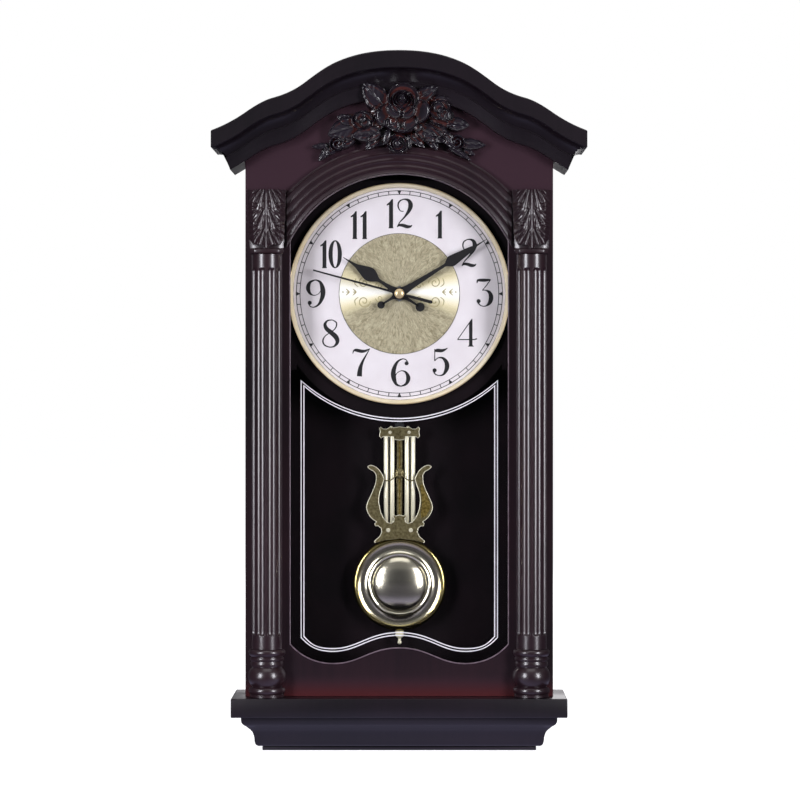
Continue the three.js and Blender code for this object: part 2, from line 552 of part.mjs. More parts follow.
function buildPendulum() {
  const pin = disc(1.1, MOVEMENT_BACK + GAP, -13.4, 16, PIVOT_Z);
  const arm = box(-2.5, 2.5, -17.6, -16.4, -250, PIVOT_Z);
  const eye = disc(5, -17.6, -16.4, 20, PIVOT_Z);
  const hook = box(-4, 4, -17.6, -14.6, -250, -247.5);
  add('pendulum_hanger', cut(join(arm, eye, hook), disc(1.5, -30, 0, 16, PIVOT_Z)), blackPlastic);
  add('pendulum_pivot_pin', pin, steel);
  add('pendulum_magnet', disc(4, -18.9, -17.9, 16, -166), steel);

  // Top yoke, four tubes and a centre strip, soldered into one grille.
  const top = -250.4;
  const tubes = [-12, -6.4, 6.4, 12].map((x) => {
    const tube = new THREE.CylinderGeometry(1.65, 1.65, 84, 8).rotateX(Math.PI / 2);
    return tube.translate(x, PENDULUM_Y, top - 46);
  });
  const yoke = outline([
    [-17.6, top - 9], [-14, top - 10.6], [14, top - 10.6], [17.6, top - 9], [15.5, top - 4], [17.6, top],
    [-17.6, top], [-15.5, top - 4],
  ]);
  const foot = plate(outline([[-14, -341], [14, -341], [14, -336], [-14, -336]]), PENDULUM_Y - 1, PENDULUM_Y + 1);
  const strip = box(-2.4, 2.4, PENDULUM_Y - 1, PENDULUM_Y + 1, -338, top - 5);
  add('pendulum_grille', join(plate(yoke, PENDULUM_Y - 1.2, PENDULUM_Y + 1.2), foot, strip, ...tubes), brass);

  const half = [
    [4.8, -328.2], [12.5, -334.8], [18.8, -313.4], [13.9, -295.8], [20.2, -288], [27.6, -284.5], [24, -292],
    [24.5, -302], [29, -318], [27, -331], [21, -337], [21.5, -345], [23.5, -351],
  ];
  const lyre = outline([
    ...half,
    ...[...half].reverse().map(([x, z]) => [-x, z]),
  ].reverse());
  add('pendulum_lyre', plate(lyre, PENDULUM_Y - 5.4, PENDULUM_Y - 3.8), brass);
  add('pendulum_rosette', turnedAlongY([
    [0, -20.5], [2.5, -20], [4.1, -18.2], [4.1, -18], [0, -18],
  ], 12, -291.4), brass);

  const bobFront = [
    [0, -25.5], [10, -24.6], [19, -22], [24.3, -18.6], [27, -19.4], [30, -18.4], [36, -19.4], [38.5, -18.2],
    [BOB_RADIUS, -17.6], [BOB_RADIUS, -16.2], [0, -16.2],
  ];
  add('bob_front_shell', turnedAlongY(bobFront, 36, BOB_Z), brass);
  add('bob_back_plate', turnedAlongY([
    [0, -15.9], [BOB_RADIUS - 1, -15.9], [BOB_RADIUS - 2, -14.6], [20, -11.8], [0, -11],
  ], 36, BOB_Z), brass);
  add('rating_nut', turnedAlongZ([
    [0, -442.6], [1.6, -442], [1.8, -440], [1, -438], [3.7, -436], [3.7, -431], [1, -430.6], [0, -430.6],
  ], 16, 0, PENDULUM_Y), brass);
}

function buildHanger() {
  const hangerPlate = outline([[-16, -22], [16, -22], [16, 16], [-16, 16]]);
  const keyhole = new THREE.Path();
  keyhole.moveTo(-2.4, -6);
  keyhole.lineTo(-2.4, -2.4);
  keyhole.absarc(0, -2.4, 2.4, Math.PI, 0, true);
  keyhole.lineTo(2.4, -6);
  keyhole.absarc(0, -10, 4.7, 1.02, Math.PI - 1.02, true);
  hangerPlate.holes.push(keyhole);
  add('hanger_plate', cut(solid(plate(hangerPlate, -1.7, -0.5, 8)),
    disc(1.6, -5, 1, 12, 11, -10), disc(1.6, -5, 1, 12, 11, 10)), steel);
}

buildCase();
buildCrown();
buildBase();
buildArch();
buildColumn('left', -1);
buildColumn('right', 1);
buildRose();
buildDial();
buildHands();
buildMovement();
buildPendulum();
buildHanger();

export default clock;
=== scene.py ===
import math

import bpy
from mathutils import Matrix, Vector


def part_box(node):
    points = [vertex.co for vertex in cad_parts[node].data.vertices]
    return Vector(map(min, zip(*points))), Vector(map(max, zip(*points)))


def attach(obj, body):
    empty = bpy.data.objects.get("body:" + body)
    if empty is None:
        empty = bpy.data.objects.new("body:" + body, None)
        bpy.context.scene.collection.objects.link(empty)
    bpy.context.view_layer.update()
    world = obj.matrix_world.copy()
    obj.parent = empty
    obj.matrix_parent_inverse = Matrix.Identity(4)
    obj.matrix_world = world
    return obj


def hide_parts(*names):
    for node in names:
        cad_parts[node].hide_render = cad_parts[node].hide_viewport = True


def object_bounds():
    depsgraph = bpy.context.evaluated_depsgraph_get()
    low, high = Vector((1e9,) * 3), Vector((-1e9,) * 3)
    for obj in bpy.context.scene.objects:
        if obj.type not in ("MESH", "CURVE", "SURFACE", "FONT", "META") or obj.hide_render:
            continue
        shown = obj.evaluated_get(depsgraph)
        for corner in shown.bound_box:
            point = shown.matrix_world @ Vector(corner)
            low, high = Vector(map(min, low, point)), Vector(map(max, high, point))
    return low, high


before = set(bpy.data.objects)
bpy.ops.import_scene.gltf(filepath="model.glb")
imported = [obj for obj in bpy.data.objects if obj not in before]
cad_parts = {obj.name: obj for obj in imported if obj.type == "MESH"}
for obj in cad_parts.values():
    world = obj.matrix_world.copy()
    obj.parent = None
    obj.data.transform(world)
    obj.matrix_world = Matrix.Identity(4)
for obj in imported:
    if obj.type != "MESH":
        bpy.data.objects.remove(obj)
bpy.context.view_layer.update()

# The studio. A long lens stands about 2.8 m in front of the crown, a little above the clock's middle.
# Two tall soft boxes light the front from both sides, a weak one and a hazy sun light it from above,
# and one more stands behind it.
wall_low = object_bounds()[0]
crown_front_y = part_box("crown_front")[0].y
lens_distance = 2.8
lens_height = -0.209
lens_side = 0.0163
seen_width = 0.688
sensor_width = 36

camera_data = bpy.data.cameras.new("studio_camera")
camera_data.sensor_width = sensor_width
camera_data.lens = sensor_width * lens_distance / seen_width
camera_data.shift_x = -0.0225
camera_data.shift_y = -0.025
camera = bpy.data.objects.new("studio_camera", camera_data)
camera.location = (lens_side, crown_front_y - lens_distance, lens_height)
camera.rotation_euler = (math.pi / 2, 0, 0)
bpy.context.scene.collection.objects.link(camera)
bpy.context.scene.camera = camera
bpy.context.scene.view_settings.view_transform = "Standard"


def soft_box(name, place, width, height, watts, tint, aim):
    light = bpy.data.lights.new(name, "AREA")
    light.shape = "RECTANGLE"
    light.size = width
    light.size_y = height
    light.energy = watts
    light.color = tint
    holder = bpy.data.objects.new(name, light)
    holder.location = place
    holder.rotation_euler = (Vector(aim) - Vector(place)).to_track_quat("-Z", "Y").to_euler()
    bpy.context.scene.collection.objects.link(holder)


middle = (0, -0.05, -0.23)
soft_box("left_soft_box", (-1.55, -1.75, -0.05), 0.55, 1.5, 56, (0.93, 0.94, 1.0), middle)
soft_box("right_soft_box", (1.55, -1.75, -0.05), 0.55, 1.5, 56, (0.95, 0.95, 1.0), middle)
soft_box("top_soft_box", (0, -1.0, 1.5), 1.6, 1.0, 7, (1.0, 1.0, 1.0), middle)
soft_box("rear_soft_box", (0.4, 2.2, 0.6), 1.6, 1.6, 14, (1.0, 1.0, 1.0), middle)

sky = bpy.data.lights.new("overhead_light", "SUN")
sky.energy = 0.35
sky.angle = math.radians(120)
sky_holder = bpy.data.objects.new("overhead_light", sky)
sky_holder.rotation_euler = (math.radians(8), 0, 0)
bpy.context.scene.collection.objects.link(sky_holder)

# The room is white to look at but throws only a little light, so the dark lacquer keeps its depth.
world = bpy.data.worlds.new("white_room")
bpy.context.scene.world = world
world.use_nodes = True
room = world.node_tree
room.nodes.clear()
seen = room.nodes.new("ShaderNodeLightPath")
white = room.nodes.new("ShaderNodeBackground")
white.inputs["Color"].default_value = (1, 1, 1, 1)
white.inputs["Strength"].default_value = 1.0
fill = room.nodes.new("ShaderNodeBackground")
fill.inputs["Color"].default_value = (0.86, 0.88, 1, 1)
fill.inputs["Strength"].default_value = 0.06
either = room.nodes.new("ShaderNodeMixShader")
out = room.nodes.new("ShaderNodeOutputWorld")
room.links.new(seen.outputs["Is Camera Ray"], either.inputs["Fac"])
room.links.new(fill.outputs["Background"], either.inputs[1])
room.links.new(white.outputs["Background"], either.inputs[2])
room.links.new(either.outputs["Shader"], out.inputs["Surface"])


def linear(hex_colour):
    channels = [int(hex_colour[i:i + 2], 16) / 255 for i in (1, 3, 5)]
    return tuple(c / 12.92 if c <= 0.04045 else ((c + 0.055) / 1.055) ** 2.4 for c in channels) + (1.0,)


def add_node(tree, kind, settings=(), inputs=()):
    made = tree.nodes.new(kind)
    for key, value in dict(settings).items():
        setattr(made, key, value)
    for key, value in dict(inputs).items():
        if isinstance(value, bpy.types.NodeSocket):
            tree.links.new(value, made.inputs[key])
        else:
            made.inputs[key].default_value = value
    return made


def start_material(name, roughness, metallic=0.0):
    material = bpy.data.materials.new(name)
    material.use_nodes = True
    shader = material.node_tree.nodes["Principled BSDF"]
    shader.inputs["Roughness"].default_value = roughness
    shader.inputs["Metallic"].default_value = metallic
    return material, material.node_tree, shader


# The floor is a wide plain sheet of paper just under the foot. It is white to the camera, darker in
# reflections, and it glows a little beside the foot.
floor_size = 30
floor_gap = 0.0004
bpy.ops.object.select_all(action="DESELECT")
bpy.ops.mesh.primitive_plane_add(size=floor_size, location=(0, 0, wall_low.z - floor_gap))
floor = bpy.context.object
floor.name = "studio_floor"
pale, pale_tree, pale_shader = start_material("matt_white_paper", 0.9)
mottle = add_node(pale_tree, "ShaderNodeTexNoise", inputs={"Scale": 3.0, "Detail": 2.0})
paper = add_node(pale_tree, "ShaderNodeValToRGB", inputs={"Fac": mottle.outputs["Fac"]})
paper.color_ramp.elements[0].color = linear("#f3f3f3")
paper.color_ramp.elements[1].color = linear("#f7f7f7")
floor_view = add_node(pale_tree, "ShaderNodeLightPath")
seen_paper = add_node(pale_tree, "ShaderNodeMix", {"data_type": "RGBA"}, {
    "Factor": floor_view.outputs["Is Camera Ray"], 6: linear("#55545c"), 7: paper.outputs["Color"]})
pale_tree.links.new(seen_paper.outputs[2], pale_shader.inputs["Base Color"])
bounce_tint = add_node(pale_tree, "ShaderNodeMix", {"data_type": "RGBA"}, {
    "Factor": floor_view.outputs["Is Camera Ray"], 6: linear("#d2cffa"), 7: linear("#ffffff")})
pale_tree.links.new(bounce_tint.outputs[2], pale_shader.inputs["Emission Color"])
floor_spot = add_node(pale_tree, "ShaderNodeTexCoord")
floor_flat = add_node(pale_tree, "ShaderNodeVectorMath", {"operation": "LENGTH"}, {
    0: floor_spot.outputs["Object"]})
near_glow = add_node(pale_tree, "ShaderNodeMapRange", inputs={
    "Value": floor_flat.outputs["Value"], "From Min": 0.14, "From Max": 0.34, "To Min": 0.7, "To Max": 0.0})
lit = add_node(pale_tree, "ShaderNodeMix", {"data_type": "FLOAT"}, {
    0: floor_view.outputs["Is Camera Ray"], 2: near_glow.outputs["Result"], 3: 0.85})
pale_tree.links.new(lit.outputs[0], pale_shader.inputs["Emission Strength"])
pale_shader.inputs["Specular IOR Level"].default_value = 0.0
floor.data.materials.append(pale)

MM = 0.001


def shaped_grid(name, columns, rows, place, sharp=35, clean=0.00002):
    """A grid primitive whose points are moved to place(column, row), seams welded, holes closed."""
    bpy.ops.object.select_all(action="DESELECT")
    bpy.ops.mesh.primitive_grid_add(x_subdivisions=columns - 1, y_subdivisions=rows - 1, size=2)
    piece = bpy.context.object
    piece.name = name
    for point in piece.data.vertices:
        column = round((point.co.x + 1) / 2 * (columns - 1))
        row = round((point.co.y + 1) / 2 * (rows - 1))
        point.co = Vector(place(column, row)) * MM
    bpy.ops.object.mode_set(mode="EDIT")
    bpy.ops.mesh.select_all(action="SELECT")
    bpy.ops.mesh.remove_doubles(threshold=clean)
    bpy.ops.mesh.fill_holes(sides=0)
    bpy.ops.mesh.normals_make_consistent(inside=False)
    bpy.ops.object.mode_set(mode="OBJECT")
    bpy.ops.object.shade_smooth_by_angle(angle=math.radians(sharp))
    return piece


def settle(piece, material, body, slot, *nodes):
    piece.data.materials.clear()
    piece.data.materials.append(material)
    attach(piece, body)
    if nodes:
        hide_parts(*nodes)


# The case is MDF and basswood stained near-black mahogany and sprayed with a satin lacquer. The stain
# is thinner on the broad flats, so they glow red, and the clear coat gives a soft shine.
def mahogany(name, dark, red, coat):
    material, tree, shader = start_material(name, 0.36)
    spot = add_node(tree, "ShaderNodeTexCoord")
    grain_run = add_node(tree, "ShaderNodeMapping", inputs={
        "Vector": spot.outputs["Object"], "Scale": (1.0, 1.0, 0.12)})
    grain = add_node(tree, "ShaderNodeTexNoise", inputs={
        "Vector": grain_run.outputs["Vector"], "Scale": 220.0, "Detail": 5.0, "Roughness": 0.6})
    cloud = add_node(tree, "ShaderNodeTexNoise", inputs={
        "Vector": spot.outputs["Object"], "Scale": 9.0, "Detail": 2.0})
    blend = add_node(tree, "ShaderNodeMath", {"operation": "MULTIPLY_ADD"}, {
        0: grain.outputs["Fac"], 1: 0.45, 2: cloud.outputs["Fac"]})
    stain = add_node(tree, "ShaderNodeValToRGB", inputs={"Fac": blend.outputs["Value"]})
    stain.color_ramp.elements[0].position = 0.45
    stain.color_ramp.elements[0].color = linear(dark)
    stain.color_ramp.elements[1].position = 0.95
    stain.color_ramp.elements[1].color = linear(red)
    tree.links.new(stain.outputs["Color"], shader.inputs["Base Color"])
    peel = add_node(tree, "ShaderNodeTexNoise", inputs={
        "Vector": spot.outputs["Object"], "Scale": 420.0, "Detail": 2.0})
    bump = add_node(tree, "ShaderNodeBump", inputs={
        "Height": peel.outputs["Fac"], "Strength": 0.06, "Distance": 0.0004})
    tree.links.new(bump.outputs["Normal"], shader.inputs["Normal"])
    shader.inputs["Specular IOR Level"].default_value = 0.2
    shader.inputs["Coat Weight"].default_value = coat
    shader.inputs["Coat Roughness"].default_value = 0.25
    shader.inputs["Coat Tint"].default_value = linear("#fbf4fa")
    return material, tree, shader, stain


# The front frame glows redder at its frieze and at its lower rail than between them.
dark_lacquer = mahogany("lacquered_mahogany_dark", "#0a070b", "#150e14", 0.6)[0]
plum_lacquer = mahogany("lacquered_mahogany_plum", "#190e12", "#2a191e", 1.0)[0]
red_lacquer, red_tree, red_shader, red_stain = mahogany("lacquered_mahogany_red", "#160e13", "#26161c", 0.3)
panel_spot = add_node(red_tree, "ShaderNodeTexCoord")
panel_axes = add_node(red_tree, "ShaderNodeSeparateXYZ", inputs={"Vector": panel_spot.outputs["Object"]})
frieze_glow = add_node(red_tree, "ShaderNodeMapRange", {"interpolation_type": "SMOOTHSTEP"}, {
    "Value": panel_axes.outputs["Z"], "From Min": -0.12, "From Max": -0.03, "To Min": 0.0, "To Max": 0.75})
foot_glow = add_node(red_tree, "ShaderNodeMapRange", {"interpolation_type": "SMOOTHSTEP"}, {
    "Value": panel_axes.outputs["Z"], "From Min": -0.462, "From Max": -0.483, "To Min": 0.0, "To Max": 1.0})
glow = add_node(red_tree, "ShaderNodeMath", {"operation": "MAXIMUM"}, {
    0: frieze_glow.outputs["Result"], 1: foot_glow.outputs["Result"]})
glow_tint = add_node(red_tree, "ShaderNodeMix", {"data_type": "RGBA"}, {
    "Factor": foot_glow.outputs["Result"], 6: linear("#35212a"), 7: linear("#3f171a")})
sunburst = add_node(red_tree, "ShaderNodeMix", {"data_type": "RGBA"}, {
    "Factor": glow.outputs["Value"], 6: red_stain.outputs["Color"], 7: glow_tint.outputs[2]})
red_tree.links.new(sunburst.outputs[2], red_shader.inputs["Base Color"])


def dress(material, *nodes):
    for node in nodes:
        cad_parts[node].data.materials.clear()
        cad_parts[node].data.materials.append(material)


dress(red_lacquer, "front_frame")


# The straight boards are the side panels, the plinth and the foot. They are sawn from board, and their
# edges are eased by sanding.
def eased_board(node, ease):
    low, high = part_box(node)
    bpy.ops.object.select_all(action="DESELECT")
    bpy.ops.mesh.primitive_cube_add(size=1, location=(0, 0, 0))
    piece = bpy.context.object
    piece.name = node + "_eased"
    for point in piece.data.vertices:
        point.co = Vector((low[i] if point.co[i] < 0 else high[i]) for i in range(3))
    rounding = piece.modifiers.new("eased_edges", "BEVEL")
    rounding.width = ease * MM
    rounding.segments = 3
    bpy.ops.object.modifier_apply(modifier="eased_edges")
    bpy.ops.object.shade_smooth_by_angle(angle=math.radians(20))
    settle(piece, dark_lacquer, "case", "lacquered_wood", node)


for board_node, board_ease in [("left_side_panel", 0.8), ("right_side_panel", 0.8),
                               ("plinth_board", 1.0), ("foot_board", 0.6)]:
    eased_board(board_node, board_ease)

# The crown moulding is routed from thick board: a flat fascia above a cove with a fine groove, bent
# along the crown's sweeping edge and mitred into a short return at each end.
CROWN_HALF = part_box("crown_front")[1].x / MM
CROWN_KNOTS = [(0, 75, 0), (54, 64.8, -0.45), (81, 47.2, -0.76), (108, 34.2, -0.27),
               (132, 21.6, -0.7), (162, 5.9, -0.36)]
CROWN_SECTION = [(1.2, 0), (0.35, 0.25), (0, 0.9), (0, 14.4), (0.5, 15.1), (2.5, 15.6), (5.1, 17),
                 (7.6, 19.3), (10, 22.5), (11.6, 25.2), (12.1, 26.1), (12.9, 26.5), (12.9, 27.3),
                 (12.3, 27.8), (12.9, 29.6), (13.8, 32), (14.7, 35), (15.3, 38), (15.5, 39.5), (15.8, 40)]


def crown_height(x):
    distance = min(abs(x), CROWN_HALF)
    for (x0, z0, slope0), (x1, z1, slope1) in zip(CROWN_KNOTS, CROWN_KNOTS[1:]):
        if distance <= x1 + 1e-6:
            break
    span = x1 - x0
    t = (distance - x0) / span
    rise = 3 * t * t - 2 * t ** 3
    return z0 + (z1 - z0) * rise + span * slope0 * t * (1 - t) ** 2 - span * slope1 * t * t * (1 - t)


CROWN_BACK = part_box("crown_front")[1].y / MM
CROWN_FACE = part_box("crown_front")[0].y / MM
crown_columns = 161


def crown_place(column, row):
    rows = len(CROWN_SECTION)
    if row < rows:
        back, drop = CROWN_SECTION[row]
        y = CROWN_FACE + back
    elif row < rows + 2:
        back, drop = CROWN_SECTION[-1] if row == rows else CROWN_SECTION[0]
        y = CROWN_BACK
    else:
        back, drop = CROWN_SECTION[0]
        y = CROWN_FACE + back
    if column in (0, crown_columns - 1):
        y = CROWN_BACK
    along = (min(max(column, 1), crown_columns - 2) - 1) / (crown_columns - 3) * 2 - 1
    x = along * (CROWN_HALF - back)
    return x, y, crown_height(x) - drop


crown = shaped_grid("crown_moulding", crown_columns, len(CROWN_SECTION) + 3, crown_place, sharp=28)
settle(crown, dark_lacquer, "case", "lacquered_wood", "crown_front")

# The roof sheet is thin board bent over the crown's sweep, from its back edge to the wall.
skin_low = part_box("roof_skin")[0]
skin_columns = 161
skin_thick = 3


def skin_place(column, row):
    x = (column / (skin_columns - 1) * 2 - 1) * CROWN_HALF
    front = skin_low.y / MM
    y, drop = [(front, 0), (0, 0), (0, skin_thick), (front, skin_thick), (front, 0)][row]
    return x, y, crown_height(x) - drop


skin = shaped_grid("roof_sheet", skin_columns, 5, skin_place)
settle(skin, dark_lacquer, "case", "lacquered_wood", "roof_skin")

RETURN_TOP, RETURN_FOOT = 3.9, CROWN_SECTION[-1][1]
for side, sign in (("left", -1), ("right", 1)):
    return_low, return_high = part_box(f"crown_return_{side}")
    return_inner = min(abs(return_low.x), abs(return_high.x)) / MM
    ring = [(CROWN_HALF - back, drop) for back, drop in CROWN_SECTION[1:] if drop > RETURN_TOP]
    ring = [(CROWN_HALF, RETURN_TOP)] + ring + [(return_inner, RETURN_FOOT), (return_inner, RETURN_TOP)]
    ring += [(return_inner + (CROWN_HALF - return_inner) * step / 6, RETURN_TOP) for step in range(1, 7)]

    def return_place(column, row):
        x, drop = ring[row % len(ring)]
        return sign * x, (return_low.y / MM, 0)[column], crown_height(x) - drop

    return_piece = shaped_grid(f"crown_end_{side}", 2, len(ring) + 1, return_place, sharp=28)
    settle(return_piece, dark_lacquer, "case", "lacquered_wood", f"crown_return_{side}")

# The base moulding is an ogee routed on three edges of a board, mitred at the front corners.
base_low, base_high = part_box("base_moulding")
BASE_TOP = base_high.z / MM
BASE_SECTION = [(0, 0), (0, 3), (0.5, 4.8), (1.6, 6.4), (3.2, 7.6), (4.8, 8.6), (6.2, 10.1), (7.8, 11.5),
                (9.4, 13.5), (10.4, 16.1), (11, 18.8), (11.2, 21.4), (11.6, 23.4), (12.4, 25), (13.6, 25.9),
                (14.6, 26.3)]


def base_place(column, row):
    """The first and last rows run along the wall, so they close the top and the underside."""
    back, drop = BASE_SECTION[min(max(row - 1, 0), len(BASE_SECTION) - 1)]
    half = base_high.x / MM - back
    front = base_low.y / MM + back
    x = (-half, -half, half, half)[column]
    y = (0, front, front, 0)[column] if 0 < row <= len(BASE_SECTION) else 0
    return x, y, BASE_TOP - drop


base = shaped_grid("base_ogee", 4, len(BASE_SECTION) + 2, base_place, sharp=30)
settle(base, dark_lacquer, "case", "lacquered_wood", "base_moulding")

# The arch moulding is turned as a ring and sawn off at both ends. Four shallow channels run round it
# between fine ridges.
arch_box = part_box("arch_moulding")
ARCH_CENTRE = -136.8
ARCH_INNER = 106.5
ARCH_WIDE = 25.5
arch_columns = 121
ARCH_BACK = arch_box[1].y / MM
ARCH_CUT = arch_box[1].x / MM
arch_section = [(0, 0), (0, 3.4), (0.3, 4.1), (1.0, 4.5), (2.4, 3.9), (3.8, 3.7), (4.7, 4.3)]
for ridge in range(4):
    start = 5.0 + ridge * 5.9
    rise = 4.9 + 0.3 * min(ridge, 2)
    arch_section += [(start, rise), (start + 0.5, rise), (start + 1.4, rise - 0.9),
                     (start + 2.9, rise - 1.4), (start + 4.5, rise - 0.9)]
arch_section += [(24.8, 4.9), (ARCH_WIDE, 4.4), (ARCH_WIDE, 0)]
arch_section = [(min(out_by, ARCH_WIDE), rise) for out_by, rise in arch_section]


def arch_place(column, row):
    out_by, rise = arch_section[row % len(arch_section)]
    radius = ARCH_INNER + out_by
    reach = math.asin(ARCH_CUT / radius)
    angle = (column / (arch_columns - 1) * 2 - 1) * reach
    return radius * math.sin(angle), ARCH_BACK - rise, ARCH_CENTRE + radius * math.cos(angle)


arch = shaped_grid("arch_reeding", arch_columns, len(arch_section) + 1, arch_place, sharp=25)
settle(arch, plum_lacquer, "case", "lacquered_wood", "arch_moulding")

# Each column shaft is a turned rod, planed flat behind where it is glued on. Its four shallow flutes
# stop short of both ends.
COLUMN_RADIUS = 13.2
COLUMN_X = 114.6
COLUMN_Y = -70
FLAT_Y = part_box("column_shaft_left")[1].y / MM
flute_angles = [math.radians(degrees) for degrees in (-54, -18, 18, 54)]
shaft_low, shaft_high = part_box("column_shaft_left")
shaft_rows = [shaft_low.z / MM, shaft_low.z / MM + 2]
plain_end = 11.5
row_step = 0.35
flute_foot = shaft_low.z / MM + plain_end
flute_head = shaft_high.z / MM - plain_end
shaft_rows += [flute_foot + row_step * step for step in range(-2, 14)]
shaft_rows += [(flute_foot + flute_head) / 2]
shaft_rows += [flute_head - row_step * step for step in range(13, -3, -1)]
shaft_rows += [shaft_high.z / MM - 2, shaft_high.z / MM]
flute_half = 3.35
flute_depth = 0.62
shaft_columns = 200
foot_columns = 73

for side, sign in (("left", -1), ("right", 1)):
    centre_x = sign * COLUMN_X

    def shaft_place(column, row):
        z = shaft_rows[row]
        angle = (column / (shaft_columns - 1) * 2 - 1) * math.pi
        radius = COLUMN_RADIUS
        past_end = max(flute_foot + flute_half - z, z - flute_head + flute_half, 0)
        for flute in flute_angles:
            across = (angle - flute) * COLUMN_RADIUS
            inside = flute_half ** 2 - across ** 2 - past_end ** 2
            if inside > 0:
                radius -= flute_depth * math.sqrt(inside)
        y = COLUMN_Y - radius * math.cos(angle)
        return centre_x + radius * math.sin(angle), min(y, FLAT_Y), z

    shaft = shaped_grid(f"fluted_shaft_{side}", shaft_columns, len(shaft_rows), shaft_place, sharp=40)
    settle(shaft, plum_lacquer, "case", "lacquered_wood", f"column_shaft_{side}")

    # The column's foot is turned: two rings, a swelling vase and a round plinth ring.
    foot_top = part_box(f"column_base_{side}")[1].z / MM
    foot_section = [(0, 0), (14.2, 0), (15.2, 0.6), (15.9, 1.8), (16, 3), (15.6, 4.6), (14.8, 5.7),
                    (13.9, 6.2), (13.9, 6.6), (14.6, 7.2), (14.8, 8.4), (14.5, 9.6), (13.7, 10.2),
                    (13.7, 10.7), (14.1, 11.4), (14.2, 13.2), (13.8, 14.9), (12.9, 15.3), (13.2, 15.9),
                    (14.6, 17.4), (15.8, 19.8), (16.4, 22.6), (16.4, 25.2), (15.8, 28), (14.8, 30.4),
                    (13.6, 32), (13.2, 32.5), (13.9, 32.9), (15.2, 33.4), (15.9, 34.6), (16, 36),
                    (15.7, 37.6), (15, 38.6), (14.6, 38.9), (14.9, 39.2), (14.9, 41.2), (0, 41.2)]

    def foot_place(column, row):
        radius, drop = foot_section[row]
        angle = (column / (foot_columns - 1) * 2 - 1) * math.pi
        y = COLUMN_Y - radius * math.cos(angle)
        return centre_x + radius * math.sin(angle), min(y, FLAT_Y), foot_top - drop

    foot = shaped_grid(f"turned_foot_{side}", foot_columns, len(foot_section), foot_place, sharp=32)
    settle(foot, plum_lacquer, "case", "lacquered_wood", f"column_base_{side}")


# A relief is carved from one block: each leaf, petal or scroll is a low mound, and the mounds overlap.
# Where no mound rises, nothing is left of the block.
def carved(name, low_x, high_x, low_z, high_z, pitch, height_at, y_of, back_y):
    """The face is a fine grid without its flat parts, and then the sides and the back are closed."""
    columns = int((high_x - low_x) / pitch) + 1
    rows = int((high_z - low_z) / pitch) + 1
    heights = {}

    def spot(column, row):
        x = low_x + column * pitch
        z = low_z + row * pitch
        heights[(column, row)] = height_at(x, z)
        return x, y_of(x, z, heights[(column, row)]), z

    bpy.ops.object.select_all(action="DESELECT")
    bpy.ops.mesh.primitive_grid_add(x_subdivisions=columns - 1, y_subdivisions=rows - 1, size=2)
    piece = bpy.context.object
    piece.name = name
    mesh = piece.data
    bare = []
    for point in mesh.vertices:
        column = round((point.co.x + 1) / 2 * (columns - 1))
        row = round((point.co.y + 1) / 2 * (rows - 1))
        point.co = Vector(spot(column, row)) * MM
        bare.append(heights[(column, row)] <= 0)
    bpy.ops.object.mode_set(mode="EDIT")
    bpy.ops.mesh.select_mode(type="VERT")
    bpy.ops.mesh.select_all(action="DESELECT")
    bpy.ops.object.mode_set(mode="OBJECT")
    for point, is_bare in zip(mesh.vertices, bare):
        point.select = is_bare
    bpy.ops.object.mode_set(mode="EDIT")
    if any(bare):
        bpy.ops.mesh.delete(type="VERT")
    bpy.ops.mesh.select_all(action="SELECT")
    bpy.ops.mesh.delete_loose()
    bpy.ops.mesh.select_all(action="DESELECT")
    bpy.ops.mesh.select_non_manifold()
    bpy.ops.mesh.extrude_edges_move(TRANSFORM_OT_translate={"value": (0, 0.001, 0)})
    bpy.ops.object.mode_set(mode="OBJECT")
    for point in mesh.vertices:
        if point.select:
            point.co.y = back_y * MM
    bpy.ops.object.mode_set(mode="EDIT")
    bpy.ops.mesh.fill()
    bpy.ops.mesh.select_all(action="SELECT")
    bpy.ops.mesh.normals_make_consistent(inside=False)
    bpy.ops.object.mode_set(mode="OBJECT")
    bpy.ops.object.shade_smooth_by_angle(angle=math.radians(50))
    return piece


# The capitals are cast acanthus blocks: tiers of leaf ribs fall outwards from a middle stem, and a
# plain ring closes the foot.
capital_low, capital_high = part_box("capital_left")
CAPITAL_TOP = capital_high.z / MM
CAPITAL_FOOT = capital_low.z / MM
CAPITAL_REACH = 17.2
CAPITAL_PITCH = 0.42
LEAF_FANS = [(CAPITAL_TOP + 9, 42, 0.0), (CAPITAL_TOP - 11, 31, 0.9), (CAPITAL_TOP - 28, 23, 1.5)]


def capital_half(z):
    share = (z - CAPITAL_FOOT) / (CAPITAL_TOP - CAPITAL_FOOT)
    return 14.4 + 2.5 * share ** 0.7


def leaf_ribs(across, z):
    if z < CAPITAL_FOOT + 5:
        ring = (z - CAPITAL_FOOT - 2.5) / 2.5
        return 1.2 + 1.5 * math.sqrt(max(0, 1 - ring * ring))
    height = 0.6
    for top, reach, lift in LEAF_FANS:
        drop = top - z
        angle = math.atan2(across, drop)
        share = math.hypot(across, drop) / (reach * (1 - 0.1 * abs(math.sin(angle * 6))))
        if drop > 0 and share < 1:
            rib = abs(math.cos(angle * 12)) * min(1, math.hypot(across, drop) / 5)
            height = max(height, 0.8 + lift + 2.4 * math.sin(math.pi * 0.68 * share) + 2.0 * rib)
    return height + 0.7 * math.exp(-(across / 1.3) ** 2)


